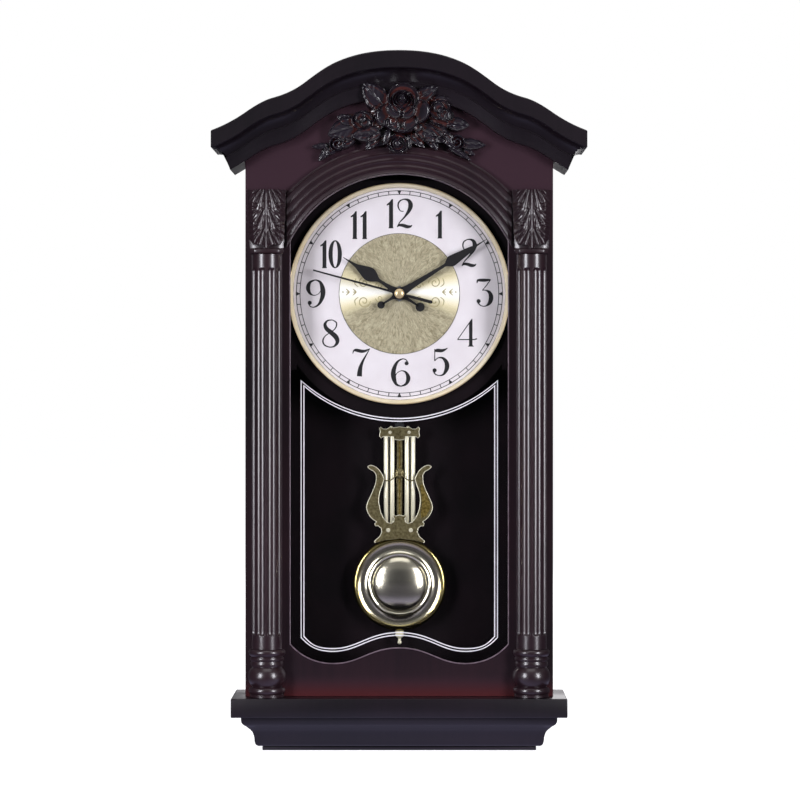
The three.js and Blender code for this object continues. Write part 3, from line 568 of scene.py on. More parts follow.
for side, sign in (("left", -1), ("right", 1)):
    middle_x = sign * COLUMN_X

    def capital_height(x, z):
        across = abs(x - middle_x)
        if across > capital_half(z) or not CAPITAL_FOOT <= z <= CAPITAL_TOP:
            return 0
        edge = (capital_half(z) - across) / capital_half(z)
        return leaf_ribs(across, z) * (0.35 + 0.65 * min(1, edge * 3.5))

    def capital_y(x, z, height):
        across = (x - middle_x) / 17
        return COLUMN_Y - 8.6 * math.sqrt(max(0.02, 1 - 0.72 * across * across)) - height

    capital = carved(f"acanthus_capital_{side}", middle_x - CAPITAL_REACH, middle_x + CAPITAL_REACH,
                     CAPITAL_FOOT, CAPITAL_TOP, CAPITAL_PITCH, capital_height, capital_y, capital_high.y / MM)
    settle(capital, plum_lacquer, "case", "lacquered_wood", f"capital_{side}")

# The rose spray is cast from a carved pattern: a full rose, two half-open roses, a bud, serrated leaves
# and scrolls. It is glued over the frieze, and its rubbed rims shine over red-brown hollows.
ROSE_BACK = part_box("rose_carving")[1].y / MM


def smooth_cap(distance, lip=0.0, soft=0.16):
    """Height of a mound at a distance of 0 in its middle to 1 on its rim, with a raised lip."""
    if distance >= 1:
        return 0.0
    edge = min(1, (1 - distance) / soft)
    ridge = lip * math.exp(-((distance - 0.86) / 0.085) ** 2)
    return math.sqrt(edge) * (1 + ridge)


def petal_height(x, z, spec):
    centre_x, centre_z, wide, tall, turn, rise, lip = spec
    angle = math.radians(turn)
    dx, dz = x - centre_x, z - centre_z
    u = (dx * math.cos(angle) + dz * math.sin(angle)) / wide
    v = (-dx * math.sin(angle) + dz * math.cos(angle)) / tall
    distance = math.hypot(u, v)
    if distance >= 1:
        return 0.0
    return rise * smooth_cap(distance, lip) - 1.6 * (1 - distance) * lip * 2


def leaf_height(x, z, spec):
    base_x, base_z, tip_x, tip_z, half_width, rise = spec
    length = math.hypot(tip_x - base_x, tip_z - base_z)
    along = ((x - base_x) * (tip_x - base_x) + (z - base_z) * (tip_z - base_z)) / length ** 2
    across = ((x - base_x) * (tip_z - base_z) - (z - base_z) * (tip_x - base_x)) / length
    if not 0 < along < 1:
        return 0.0
    teeth = 1 + 0.1 * abs(math.sin(along * 11))
    width = half_width * math.sin(math.pi * along ** 0.72) ** 0.7 * teeth
    distance = abs(across) / max(width, 0.01)
    if distance >= 1:
        return 0.0
    vein = 0.2 * abs(math.sin((along * length - abs(across) * 0.8) * 0.62))
    midrib = 0.9 * math.exp(-(across / 0.7) ** 2)
    return rise * smooth_cap(distance, 0.34, 0.12) * (0.86 + 0.14 * math.sin(math.pi * along)) - vein + midrib


def scroll_height(x, z, spec):
    centre_x, centre_z, radius, hand, rise = spec
    dx, dz = (x - centre_x) * hand, z - centre_z
    distance = math.hypot(dx, dz)
    if distance > radius:
        return 0.0
    turn = math.atan2(dz, dx) / (2 * math.pi)
    coil = (distance / radius * 2.2 - turn) % 1
    return rise * (0.55 + 0.45 * math.sin(math.pi * coil)) * min(1, (radius - distance) * 1.2 + 0.3)


petals = [
    (-9.5, 20.5, 13.5, 11.5, 35, 11.5, 0.16), (17, 23.5, 11, 12, -30, 11.5, 0.16),
    (3.5, 14.5, 15, 11.5, 0, 12.5, 0.16), (9.5, 12.5, 8, 6, 25, 13.2, 0.2),
    (-6, 12, 8, 6, -30, 12.6, 0.2), (3.5, 33.5, 15.5, 15.5, 0, 15.5, 0.14),
    (2.8, 30.5, 12.6, 12, 10, 17.4, 0.16), (2.4, 32.3, 9.6, 8.6, -12, 19.4, 0.14),
    (2.6, 33, 7.2, 6.2, 20, 21.2, 0.13), (2.8, 33.4, 4.9, 4.2, -20, 22.6, 0.12),
    (2.9, 33.6, 2.7, 2.3, 30, 23.7, 0.1), (-4.6, 22.6, 8.4, 5.8, -38, 18.4, 0.13),
    (8.4, 21.6, 8, 5.6, 42, 17.8, 0.13), (35.5, 24.5, 10.4, 10, 0, 10, 0.2),
    (38.5, 21, 7.6, 6, -50, 11.6, 0.2), (34, 26.5, 5.6, 5, 30, 12.2, 0.2),
    (36.2, 23.6, 3.2, 3, 0, 13.2, 0.18), (43.5, 19.5, 4.6, 5.4, -20, 10.4, 0.24),
    (-31.5, 15.5, 10.4, 9.4, 0, 10, 0.2), (-33.5, 17.5, 6, 5, 30, 11.6, 0.2),
    (-29.5, 13.6, 6, 5, -30, 12, 0.2), (-31.4, 16.2, 3.2, 3, 0, 13, 0.18),
    (-1, -4.6, 10.6, 9.6, 0, 10.4, 0.16), (-1.2, -5.2, 7.6, 7.6, 20, 12.4, 0.18),
    (-1.6, -4.6, 5, 5, -20, 13.8, 0.17), (-1.4, -4.8, 2.6, 2.6, 0, 15, 0.12),
    (-10.5, 1.2, 3.4, 7.6, -14, 10.5, 0.24), (8.8, -3, 2.6, 7.2, 6, 9.6, 0.24),
    (16.5, 9, 4.6, 3.8, 20, 12.2, 0.3)]
leaves = [
    (-12, 26, -31.5, 47.8, 10.5, 10.6), (-15, 24, -25.5, 21, 6, 9), (14, 33, 33.6, 44.6, 6.6, 10.2),
    (-34, 12, -62, 3, 10.8, 7.6), (-40, 14, -54, 19.5, 5, 7), (-16, 5, -41.5, 2, 7.6, 10),
    (-18, 2, -29, -9.5, 5.4, 9.2), (-62, -6, -76, -7.2, 2.8, 6), (-60, -8, -70, -19.4, 3.6, 6),
    (-55, -11, -66, -13, 2.4, 6), (14, 10, 40.5, -3, 7.8, 9.6), (24, 6, 33, -10.5, 5.4, 9),
    (38, 5, 48, -9, 5, 8.4), (42, 13, 61, 11.4, 6.4, 8.4), (52, -4, 75, -5.8, 5.2, 6.4),
    (26, 18, 50, 12, 6, 7.6), (-14, 14, -30, 6, 6, 8.6), (10, 4, 22, -8, 4.6, 8),
    (-8, 4, -20, -7, 4.6, 8), (22, 10, 44, 4, 6.4, 8.2), (-38, 0, -56, -9, 4.4, 7),
    (30, 16, 24, 36, 5, 8), (56, -9, 66, -14.5, 2.6, 6), (40, -4, 63, -19.2, 3.2, 6.6),
    (26, 33, 46, 34.2, 3.6, 8.6)]
scrolls = [(-53.6, -4.5, 7.4, 1, 9), (50, -3.1, 7.2, -1, 9)]


def carving_height(x, z):
    highest = 0.0
    for spec in petals:
        highest = max(highest, petal_height(x, z, spec))
    for spec in leaves:
        highest = max(highest, leaf_height(x, z, spec))
    for spec in scrolls:
        highest = max(highest, scroll_height(x, z, spec))
    over_arch = math.hypot(x, z - ARCH_CENTRE) < ARCH_INNER + 22
    return 0 if highest < 0.5 or over_arch and highest < 4 else highest


def carving_y(x, z, height):
    tilt = max(0, z - 26) * 0.14
    return ROSE_BACK - 0.4 - height * 1.08 - tilt


SPRAY_HALF, SPRAY_FOOT, SPRAY_TOP, SPRAY_PITCH = 77, -21, 50, 0.45
spray = carved("rose_spray", -SPRAY_HALF, SPRAY_HALF, SPRAY_FOOT, SPRAY_TOP, SPRAY_PITCH, carving_height,
               carving_y, ROSE_BACK)
hollow = spray.data.attributes.new("hollow", "FLOAT", "POINT")
for number, point in enumerate(spray.data.vertices):
    x, z = point.co.x / MM, point.co.z / MM
    here = carving_height(x, z)
    beside = [carving_height(x + dx, z + dz) for dx, dz in ((3, 0), (-3, 0), (0, 3), (0, -3))]
    hollow.data[number].value = min(1, max(0, 0.1 + (sum(beside) / 4 - here) * 0.5))
carving, carving_tree, carving_shader = start_material("rubbed_cast_carving", 0.3)
depth = add_node(carving_tree, "ShaderNodeAttribute", {"attribute_name": "hollow"})
carving_spot = add_node(carving_tree, "ShaderNodeTexCoord")
patch = add_node(carving_tree, "ShaderNodeTexNoise", inputs={
    "Vector": carving_spot.outputs["Object"], "Scale": 60.0, "Detail": 3.0})
worn = add_node(carving_tree, "ShaderNodeMath", {"operation": "MULTIPLY_ADD"}, {
    0: patch.outputs["Fac"], 1: 0.5, 2: depth.outputs["Fac"]})
rub = add_node(carving_tree, "ShaderNodeValToRGB", inputs={"Fac": worn.outputs["Value"]})
rub.color_ramp.elements[0].position = 0.6
rub.color_ramp.elements[0].color = linear("#17101a")
rub.color_ramp.elements[1].position = 0.9
rub.color_ramp.elements[1].color = linear("#3a1411")
carving_tree.links.new(rub.outputs["Color"], carving_shader.inputs["Base Color"])
carving_shader.inputs["Coat Weight"].default_value = 0.9
carving_shader.inputs["Coat Roughness"].default_value = 0.17
settle(spray, carving, "case", "lacquered_wood", "rose_carving")

# The window is one pane of clear float glass held behind the frame. Wiping has left its shine a
# little uneven.
glass, glass_tree, glass_shader = start_material("clear_float_glass", 0.03)
glass_spot = add_node(glass_tree, "ShaderNodeTexCoord")
smear = add_node(glass_tree, "ShaderNodeTexNoise", inputs={
    "Vector": glass_spot.outputs["Object"], "Scale": 14.0, "Detail": 3.0})
wipe = add_node(glass_tree, "ShaderNodeMapRange", inputs={
    "Value": smear.outputs["Fac"], "To Min": 0.02, "To Max": 0.07})
glass_tree.links.new(wipe.outputs["Result"], glass_shader.inputs["Roughness"])
glass_shader.inputs["Base Color"].default_value = linear("#0c0f0e")
glass_shader.inputs["Alpha"].default_value = 0.04
dress(glass, "window_glass")


# A screen print on the back of the glass: a double silver line that frames the pendulum. Each printed
# shape is a thin flat film, filled between outlines.
def flat_film(name, outlines, y_front, thickness, rounded=0.0):
    bpy.ops.object.select_all(action="DESELECT")
    curve = bpy.data.curves.new(name, "CURVE")
    curve.dimensions = "2D"
    curve.fill_mode = "BOTH"
    curve.extrude = (thickness / 2 - rounded) * MM
    curve.bevel_depth = rounded * MM
    curve.bevel_resolution = 2
    curve.offset = -rounded * MM
    for outline in outlines:
        spline = curve.splines.new("POLY")
        spline.points.add(len(outline) - 1)
        spline.use_cyclic_u = True
        for point, (x, z) in zip(spline.points, outline):
            point.co = (x * MM, z * MM, 0, 1)
    piece = bpy.data.objects.new(name, curve)
    bpy.context.scene.collection.objects.link(piece)
    bpy.context.view_layer.objects.active = piece
    piece.select_set(True)
    bpy.ops.object.convert(target="MESH")
    piece = bpy.context.object
    for point in piece.data.vertices:
        point.co = Vector((point.co.x, y_front * MM + thickness / 2 * MM - point.co.z, point.co.y))
    bpy.ops.object.mode_set(mode="EDIT")
    bpy.ops.mesh.select_all(action="SELECT")
    bpy.ops.mesh.remove_doubles(threshold=0.000005)
    bpy.ops.mesh.normals_make_consistent(inside=False)
    bpy.ops.object.mode_set(mode="OBJECT")
    return piece


def bezier(start, pull_start, pull_end, end, steps=24):
    points = []
    for step in range(steps):
        t = step / steps
        points.append(tuple(start[i] * (1 - t) ** 3 + 3 * pull_start[i] * t * (1 - t) ** 2
                            + 3 * pull_end[i] * t * t * (1 - t) + end[i] * t ** 3 for i in range(2)))
    return points


def pendulum_outline(inset):
    """The line round the lower window, moved in by inset: an arc below the dial, and a wavy foot."""
    half, corner_z, arc_drop = 85.5 - inset, -209.7 - 1.8 * inset, -242.5 - inset
    reach = (half ** 2 + (corner_z - arc_drop) ** 2) / (2 * (corner_z - arc_drop))
    swing = math.asin(half / reach)
    top = [(reach * math.sin(swing * share), arc_drop + reach * (1 - math.cos(swing * share)))
           for share in (step / 40 - 1 for step in range(80))]
    side_z, dip_z, rise_z = -433.4 + 0.4 * inset, -445.4 + inset, -431.4 + inset
    right = bezier((half, side_z), (half - 6, side_z - 6), (74, dip_z), (57.7, dip_z))
    right += bezier((57.7, dip_z), (36, dip_z), (27, rise_z), (0, rise_z))
    left = [(-x, z) for x, z in reversed(right[1:])] + [(-half, side_z)]
    return top + [(half, corner_z)] + right + left


SILVER_HALF, SILVER_THICK, SILVER_LIFT = 0.45, 0.14, 0.12
print_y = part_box("window_glass")[1].y / MM + SILVER_LIFT
silver, silver_tree, silver_shader = start_material("silver_foil_print", 0.5, 0.0)
silver_spot = add_node(silver_tree, "ShaderNodeTexCoord")
silver_mottle = add_node(silver_tree, "ShaderNodeTexNoise", inputs={
    "Vector": silver_spot.outputs["Object"], "Scale": 500.0, "Detail": 2.0})
silver_tone = add_node(silver_tree, "ShaderNodeValToRGB", inputs={"Fac": silver_mottle.outputs["Fac"]})
silver_tone.color_ramp.elements[0].color = linear("#e4dfe6")
silver_tone.color_ramp.elements[1].color = linear("#fbf8fd")
silver_tree.links.new(silver_tone.outputs["Color"], silver_shader.inputs["Base Color"])
for number, inset in enumerate((0.0, 2.4)):
    both_edges = [pendulum_outline(inset - SILVER_HALF), pendulum_outline(inset + SILVER_HALF)]
    line = flat_film(f"silver_line_{number + 1}", both_edges, print_y, SILVER_THICK)
    settle(line, silver, "case", "clear_glass")


# A mottled finish: one colour drifts a little into another, with a fine bump. Most plain parts use it.
def mottled(name, first, second, roughness, metallic=0.0, scale=300.0, bump=0.0, stretch=(1, 1, 1)):
    material, tree, shader = start_material(name, roughness, metallic)
    spot = add_node(tree, "ShaderNodeTexCoord")
    run = add_node(tree, "ShaderNodeMapping", inputs={"Vector": spot.outputs["Object"], "Scale": stretch})
    cloud = add_node(tree, "ShaderNodeTexNoise", inputs={
        "Vector": run.outputs["Vector"], "Scale": scale, "Detail": 4.0})
    tone = add_node(tree, "ShaderNodeValToRGB", inputs={"Fac": cloud.outputs["Fac"]})
    tone.color_ramp.elements[0].position = 0.3
    tone.color_ramp.elements[0].color = linear(first)
    tone.color_ramp.elements[1].position = 0.7
    tone.color_ramp.elements[1].color = linear(second)
    tree.links.new(tone.outputs["Color"], shader.inputs["Base Color"])
    if bump:
        relief = add_node(tree, "ShaderNodeBump", inputs={
            "Height": cloud.outputs["Fac"], "Strength": bump, "Distance": 0.0003})
        tree.links.new(relief.outputs["Normal"], shader.inputs["Normal"])
    return material


# Behind the glass the back panel is thin hardboard, and the dial stands on a board. Both are stained
# almost black in front, so the pendulum shows up against the dark. The roof boards are bare board.
dark_board = mottled("stained_hardboard", "#0b070a", "#150c11", 0.62, scale=22.0, bump=0.1)
dark_board.node_tree.nodes["Principled BSDF"].inputs["Specular IOR Level"].default_value = 0.08
dress(dark_board, "back_panel", "dial_board", "glass_strip_left", "glass_strip_right")
bare_board = mottled("bare_fibreboard", "#8f7355", "#a3865f", 0.8, scale=260.0, bump=0.3)
dress(bare_board, "crown_back_board", "roof_board")

# The dial is a printed aluminium plate: white enamel, a minute track and twelve numerals in black ink.
# Each stroke of a numeral is a printed shape of its own.
DIAL_X, DIAL_Z = 0.0, -133.5
dial_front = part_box("dial_face")[0].y / MM
enamel = mottled("white_dial_enamel", "#dcd5d8", "#e6e0e3", 0.42, scale=60.0)
dress(enamel, "dial_face")
PRINT_THICK = 0.05
PRINT_LIFT = 0.01
LAYER_STEP = 0.012
PEN_WEIGHT = 1.16
numeral_ink = mottled("black_dial_ink", "#0b0b0d", "#141316", 0.45, scale=700.0)


def curve_through(points, steps=9):
    """A smooth run through points, each of them (x, z) or (x, z, width)."""
    padded = [points[0]] + list(points) + [points[-1]]
    run = []
    for before, start, end, after in zip(padded, padded[1:], padded[2:], padded[3:]):
        for step in range(steps):
            t = step / steps
            run.append(tuple(0.5 * (2 * s + (e - b) * t + (2 * b - 5 * s + 4 * e - a) * t * t
                                    + (3 * s - b - 3 * e + a) * t ** 3)
                             for b, s, e, a in zip(before, start, end, after)))
    return run + [tuple(points[-1])]


def stroke(points, smooth=True):
    """The outline of a pen stroke whose width changes along its path."""
    run = curve_through(points) if smooth else [tuple(point) for point in points]
    left, right = [], []
    for number, (x, z, width) in enumerate(run):
        ahead = run[min(number + 1, len(run) - 1)]
        behind = run[max(number - 1, 0)]
        dx, dz = ahead[0] - behind[0], ahead[1] - behind[1]
        length = math.hypot(dx, dz) or 1
        half = width * PEN_WEIGHT / 2
        left.append((x - dz / length * half, z + dx / length * half))
        right.append((x + dz / length * half, z - dx / length * half))
    return left + right[::-1]


def oval(x, z, half_wide, half_tall, steps=24):
    """Points round an oval, clockwise from its top."""
    turns = [step * 2 * math.pi / steps for step in range(steps)]
    return [(x + half_wide * math.sin(turn), z + half_tall * math.cos(turn)) for turn in turns]


def spot_of_ink(x, z, radius):
    return oval(x, z, radius, radius)


def one(x=0.0):
    stem = [(x - 1.2, 9.8), (x - 3.7, 7.8), (x - 3.6, 6.6), (x - 1.7, 7.4), (x - 1.7, -10.9),
            (x - 2.2, -12.2), (x + 2.2, -12.2), (x + 1.7, -10.9), (x + 1.7, 12.2), (x + 0.5, 12.2)]
    return [stem]


def two(x=0.0):
    ring = [(x - 0.6, 1.9, 0.6), (x - 3.4, 2.6, 0.7), (x - 5.1, 6.2, 1.1), (x - 4.2, 10, 1.1),
            (x - 0.4, 12, 0.9), (x + 3.6, 11, 2.2), (x + 5.3, 7.4, 3.3), (x + 4.2, 3, 2.7),
            (x + 0.6, -2.4, 1.3), (x - 3.6, -7, 0.8), (x - 5.9, -11, 0.7)]
    base = [(x - 5.9, -11, 0.7), (x - 4.2, -9.6, 1.7), (x - 1.2, -9.7, 2.4), (x + 2.4, -10.8, 2.5),
            (x + 5.2, -10.6, 1.6), (x + 6.6, -9.4, 0.4)]
    return [stroke(ring), stroke(base)]


def three():
    top = [(-6.2, 8.2, 0.5), (-5.6, 10.6, 1.6), (-3, 10.9, 2.3), (1, 10.9, 2.3), (5.4, 11.3, 1.2)]
    bowl = [(-1.6, 1.9, 0.5), (1.4, 2.1, 0.9), (4.6, 0.2, 2.4), (6.1, -3.8, 3.4), (5, -8.6, 2.8),
            (1.4, -11.7, 0.9), (-2.8, -11.4, 0.8), (-5.6, -8.6, 1.1)]
    return [stroke(top), stroke([(5.8, 11.6, 0.7), (2.4, 6.8, 0.7), (-1.6, 1.9, 0.6)]), stroke(bowl),
            spot_of_ink(-4.8, -7.4, 1.8)]


def four():
    stem = [(3.9, 12.2), (1.6, 8.2), (1.6, -10.8), (0.4, -12.2), (6, -12.2), (4.6, -10.8), (4.6, 12.2)]
    return [stem, stroke([(4.2, 12, 0.7), (-8.3, -5.8, 0.7)], False),
            stroke([(-8.6, -6, 0.8), (6.4, -6, 0.8), (8.4, -5.2, 1.2)], False)]


def five():
    flag = [(-4.6, 9.6, 1.4), (-2.6, 10.2, 2.6), (1, 10, 2.5), (4, 10.9, 1.5), (6.4, 12.3, 0.4)]
    bowl = [(-5, 1, 0.7), (-2, 3.6, 0.8), (2.2, 3.4, 1.8), (5.4, -0.6, 3.2), (5.6, -5.4, 3.3),
            (3, -10.4, 1.7), (-0.6, -11.8, 0.8), (-4.4, -10.6, 0.9), (-6, -7.6, 1.1)]
    return [stroke(flag), stroke([(-4.9, 11.4, 0.7), (-5, 1, 0.7)], False), stroke(bowl),
            spot_of_ink(-5.1, -7.2, 1.8)]


def six():
    back = [(6.5, 8.2, 1), (4.8, 11.2, 0.8), (1.4, 12, 0.9), (-3, 9.2, 1.8), (-6, 2.6, 3.3),
            (-6.2, -3.6, 3.7), (-4, -9.8, 2), (0.2, -11.9, 0.9)]
    bowl = [(0.2, -11.9, 0.9), (4.8, -9.8, 2), (6.7, -5, 3.2), (5, -0.2, 1.9), (1.4, 1.7, 0.7),
            (-2.6, 0.2, 0.6), (-4.8, -3.2, 0.6)]
    return [stroke(back), stroke(bowl), spot_of_ink(5.2, 8.2, 1.8)]


def seven():
    bar = [(-7.5, 7.6, 0.4), (-6.5, 10.2, 1.3), (-4.2, 10.7, 2.4), (0, 9.8, 2.6), (3.6, 10.1, 1.8),
           (7.6, 12.1, 0.5)]
    stem = [(7.6, 12.1, 0.5), (4.4, 6.6, 1), (1, 0.2, 1.9), (-1, -6, 3.2), (-1.6, -12.2, 3.9)]
    return [stroke(bar), stroke(stem)]


def eight():
    spine = [(1.4, 11.9, 0.7), (-2.8, 11.2, 1.2), (-5, 8, 2.3), (-3.6, 4.2, 3.1), (0.4, 0.8, 3.4),
             (4.6, -3.2, 3.7), (5.8, -7.4, 2.8), (3, -11.2, 1.3), (-0.8, -12, 0.8)]
    upper = [(1.4, 11.9, 0.7), (4.7, 9.8, 1), (5, 6.8, 1), (3.2, 3.6, 0.8), (-0.6, 0.9, 0.7)]
    lower = [(-0.8, -12, 0.8), (-5, -10.4, 1.1), (-6.9, -6.8, 1.2), (-5.2, -2.6, 0.8), (-0.6, 0.9, 0.7)]
    return [stroke(spine), stroke(upper), stroke(lower)]


def turned_round(outlines):
    return [[(-x, -z) for x, z in outline] for outline in outlines]


def nought(x=0.0):
    return [oval(x, 0, 5.9, 12.3, 40), oval(x, 0, 2.2, 11.2, 40)]


def shift(outlines, x, z, scale=1.0):
    return [[(px * scale + x, pz * scale + z) for px, pz in outline] for outline in outlines]


def dial_print(name, outlines, layer=0):
    """Ink on the dial. Shapes that overlap are printed in layers, a hair apart."""
    front = dial_front - PRINT_THICK - PRINT_LIFT - LAYER_STEP * layer
    mark = flat_film(name, outlines, front, PRINT_THICK)
    settle(mark, numeral_ink, "case", "black_enamel")


numerals = [
    ("one", one(), 35.5, 60.6), ("two", two(), 60.7, 35.6), ("three", three(), 74.2, 1.0),
    ("four", four(), 59.4, -34.1), ("five", five(), 35.9, -59.8), ("six", six(), 1.1, -69.1),
    ("seven", seven(), -33.4, -60.1), ("eight", eight(), -60.1, -34.8),
    ("nine", turned_round(six()), -73.3, 0.3), ("eleven", one(-4.2) + one(4.4), -34.8, 60.1)]
for title, outlines, place_x, place_z in numerals:
    for number, outline in enumerate(shift(outlines, DIAL_X + place_x, DIAL_Z + place_z)):
        dial_print(f"numeral_{title}_{number + 1}", [outline], number)
for title, digits, place_x, place_z, scale in (
        ("ten", [one(-6.9), nought(2.5)], -58.7, 34.6, 1.0),
        ("twelve", [one(-8.0), two(3.0)], 1.1, 70.1, 1.05)):
    for number, outlines in enumerate(digits):
        parts = shift(outlines, DIAL_X + place_x, DIAL_Z + place_z, scale)
        groups = [parts] if title == "ten" else [[part] for part in parts]
        for share, group in enumerate(groups):
            dial_print(f"numeral_{title}_{number + 1}_{share + 1}", group, share)


def circle(radius, steps=180):
    return oval(DIAL_X, DIAL_Z, radius, radius, steps)


def around_dial(minute, out_by, across):
    turn = minute * math.pi / 30
    return (DIAL_X + out_by * math.sin(turn) + across * math.cos(turn),
            DIAL_Z + out_by * math.cos(turn) - across * math.sin(turn))


TRACK_OUT, TRACK_IN, LINE = 90.2, 87.0, 0.3
TICK = 0.36
for label, radius, line in (("outer", TRACK_OUT, LINE), ("inner", TRACK_IN, LINE), ("centre", 52.7, 0.26)):
    dial_print(f"{label}_ring_print", [circle(radius + line), circle(radius - line)])
track = []
for minute in range(60):
    if minute % 5:
        track.append([around_dial(minute, TRACK_IN, -TICK), around_dial(minute, TRACK_OUT, -TICK),
                      around_dial(minute, TRACK_OUT, TICK), around_dial(minute, TRACK_IN, TICK)])
    else:
        track.append([around_dial(minute, TRACK_IN - 0.5, 0), around_dial(minute, TRACK_OUT + 0.4, -1.9),
                      around_dial(minute, TRACK_OUT + 0.4, 1.9)])
dial_print("minute_marks", track, layer=5)


# The rim round the dial is a spun brass ring, gilt and lacquered, rolled over the dial's edge.
def turned(name, profile, centre_x, centre_z, columns=145, sharp=32):
    """Turned about an axis along Y: the profile is [radius, y], round the whole ring from the front."""
    def place(column, row):
        radius, y = profile[row]
        turn = column / (columns - 1) * 2 * math.pi
        return centre_x + radius * math.sin(turn), y, centre_z + radius * math.cos(turn)

    return shaped_grid(name, columns, len(profile), place, sharp)


bezel_low, bezel_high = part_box("dial_bezel")
BEZEL_FRONT, BEZEL_BACK = bezel_low.y / MM, bezel_high.y / MM
rolled_face = [(92.85, 3.1), (93.0, 2.2), (93.5, 1.5), (94.2, 0.9), (94.6, 0.45), (94.9, 0.5), (95.1, 0.1),
               (95.6, 0), (96.2, 0.3), (96.6, 1.1), (96.7, 2.4)]
bezel_profile = [(radius, BEZEL_FRONT + back) for radius, back in rolled_face]
bezel_profile = [(92.9, BEZEL_BACK)] + bezel_profile + [(96.6, BEZEL_BACK), (92.9, BEZEL_BACK)]
bezel = turned("spun_dial_rim", bezel_profile, DIAL_X, DIAL_Z, 241)
gilt = mottled("gilt_spun_brass", "#d9bf90", "#e8d3aa", 0.3, 0.6, 30.0)
# The ring's face is given this paler, less metallic cream gilt: gilt brass with a painted highlight on it.
gilt_with_painted_highlight = mottled("gilt_rim_painted_highlight", "#f0dfb8", "#f8eed6", 0.34, 0.25, 30.0)
settle(bezel, gilt_with_painted_highlight, "case", "gilt_metal", "dial_bezel")

# The centre disc is a foil printed plate, embossed with rays like palm leaves, with fine scrolls on its
# sides.
# Its left and right are painted pale cream, a painted highlight like the bow-tie glint of circular brushing;
# the top and bottom keep the dull rays.
disc_foil, disc_tree, disc_shader = start_material("embossed_foil_painted_glint", 0.5)
disc_spot = add_node(disc_tree, "ShaderNodeTexCoord")
disc_middle = add_node(disc_tree, "ShaderNodeMapping", inputs={
    "Vector": disc_spot.outputs["Object"], "Location": (0, 0, -DIAL_Z * MM), "Scale": (1, 0, 1)})
disc_axes = add_node(disc_tree, "ShaderNodeSeparateXYZ", inputs={"Vector": disc_middle.outputs["Vector"]})
side_way = add_node(disc_tree, "ShaderNodeMath", {"operation": "ABSOLUTE"}, {0: disc_axes.outputs["X"]})
lifted = add_node(disc_tree, "ShaderNodeMath", {"operation": "ADD"}, {0: disc_axes.outputs["Z"], 1: -0.0015})
up_way = add_node(disc_tree, "ShaderNodeMath", {"operation": "ABSOLUTE"}, {0: lifted.outputs["Value"]})
lean = add_node(disc_tree, "ShaderNodeMath", {"operation": "ARCTAN2"}, {
    0: up_way.outputs["Value"], 1: side_way.outputs["Value"]})
# Painted highlight: this mask is 1 at the disc's left and right and 0 towards its top and bottom.
painted_glint_mask = add_node(disc_tree, "ShaderNodeMapRange", {"interpolation_type": "SMOOTHSTEP"}, {
    "Value": lean.outputs["Value"], "From Min": 0.50, "From Max": 0.20, "To Min": 0.0, "To Max": 1.0})
around = add_node(disc_tree, "ShaderNodeMath", {"operation": "ARCTAN2"}, {
    0: disc_axes.outputs["Z"], 1: disc_axes.outputs["X"]})
out_from = add_node(disc_tree, "ShaderNodeVectorMath", {"operation": "LENGTH"}, {
    0: disc_middle.outputs["Vector"]})
ray_spot = add_node(disc_tree, "ShaderNodeCombineXYZ", inputs={
    "X": add_node(disc_tree, "ShaderNodeMath", {"operation": "MULTIPLY"}, {
        0: around.outputs["Value"], 1: 9.0}).outputs["Value"],
    "Y": add_node(disc_tree, "ShaderNodeMath", {"operation": "MULTIPLY"}, {
        0: out_from.outputs["Value"], 1: 95.0}).outputs["Value"]})
rays = add_node(disc_tree, "ShaderNodeTexNoise", inputs={
    "Vector": ray_spot.outputs["Vector"], "Scale": 1.6, "Detail": 5.0, "Roughness": 0.68, "Distortion": 1.6})
dull = add_node(disc_tree, "ShaderNodeValToRGB", inputs={"Fac": rays.outputs["Fac"]})
dull.color_ramp.elements[0].position = 0.36
dull.color_ramp.elements[0].color = linear("#82795c")
dull.color_ramp.elements[1].position = 0.64
dull.color_ramp.elements[1].color = linear("#bbb294")
# The painted highlight is palest nearest the horizontal through the disc's middle.
painted_glint_core = add_node(disc_tree, "ShaderNodeMapRange", {"interpolation_type": "SMOOTHSTEP"}, {
    "Value": lean.outputs["Value"], "From Min": 0.32, "From Max": 0.02, "To Min": 0.0, "To Max": 1.0})
painted_glint_tone = add_node(disc_tree, "ShaderNodeMix", {"data_type": "RGBA"}, {
    "Factor": painted_glint_core.outputs["Result"], 6: linear("#e9ddb2"), 7: linear("#fffdf3")})
foil = add_node(disc_tree, "ShaderNodeMix", {"data_type": "RGBA"}, {
    "Factor": painted_glint_mask.outputs["Result"], 6: dull.outputs["Color"], 7: painted_glint_tone.outputs[2]})
disc_tree.links.new(foil.outputs[2], disc_shader.inputs["Base Color"])
# Inside the painted highlight the embossing is made fainter.
quiet = add_node(disc_tree, "ShaderNodeMapRange", inputs={
    "Value": painted_glint_mask.outputs["Result"], "To Min": 0.5, "To Max": 0.05})
emboss = add_node(disc_tree, "ShaderNodeBump", inputs={
    "Height": rays.outputs["Fac"], "Strength": quiet.outputs["Result"], "Distance": 0.0008})
disc_tree.links.new(emboss.outputs["Normal"], disc_shader.inputs["Normal"])
dress(disc_foil, "dial_centre_disc")

disc_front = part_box("dial_centre_disc")[0].y / MM
etched = mottled("olive_foil_etching", "#9c9266", "#b3a981", 0.5, 0.0, 600.0)


def coil(x, z, radius, hand, turns=1.5, width=0.8):
    steps = 26
    points = []
    for step in range(steps + 1):
        angle = step / steps * turns * 2 * math.pi
        reach = radius * (1 - 0.86 * step / steps)
        points.append((x + hand * reach * math.cos(angle), z + reach * math.sin(angle), width))
    return points


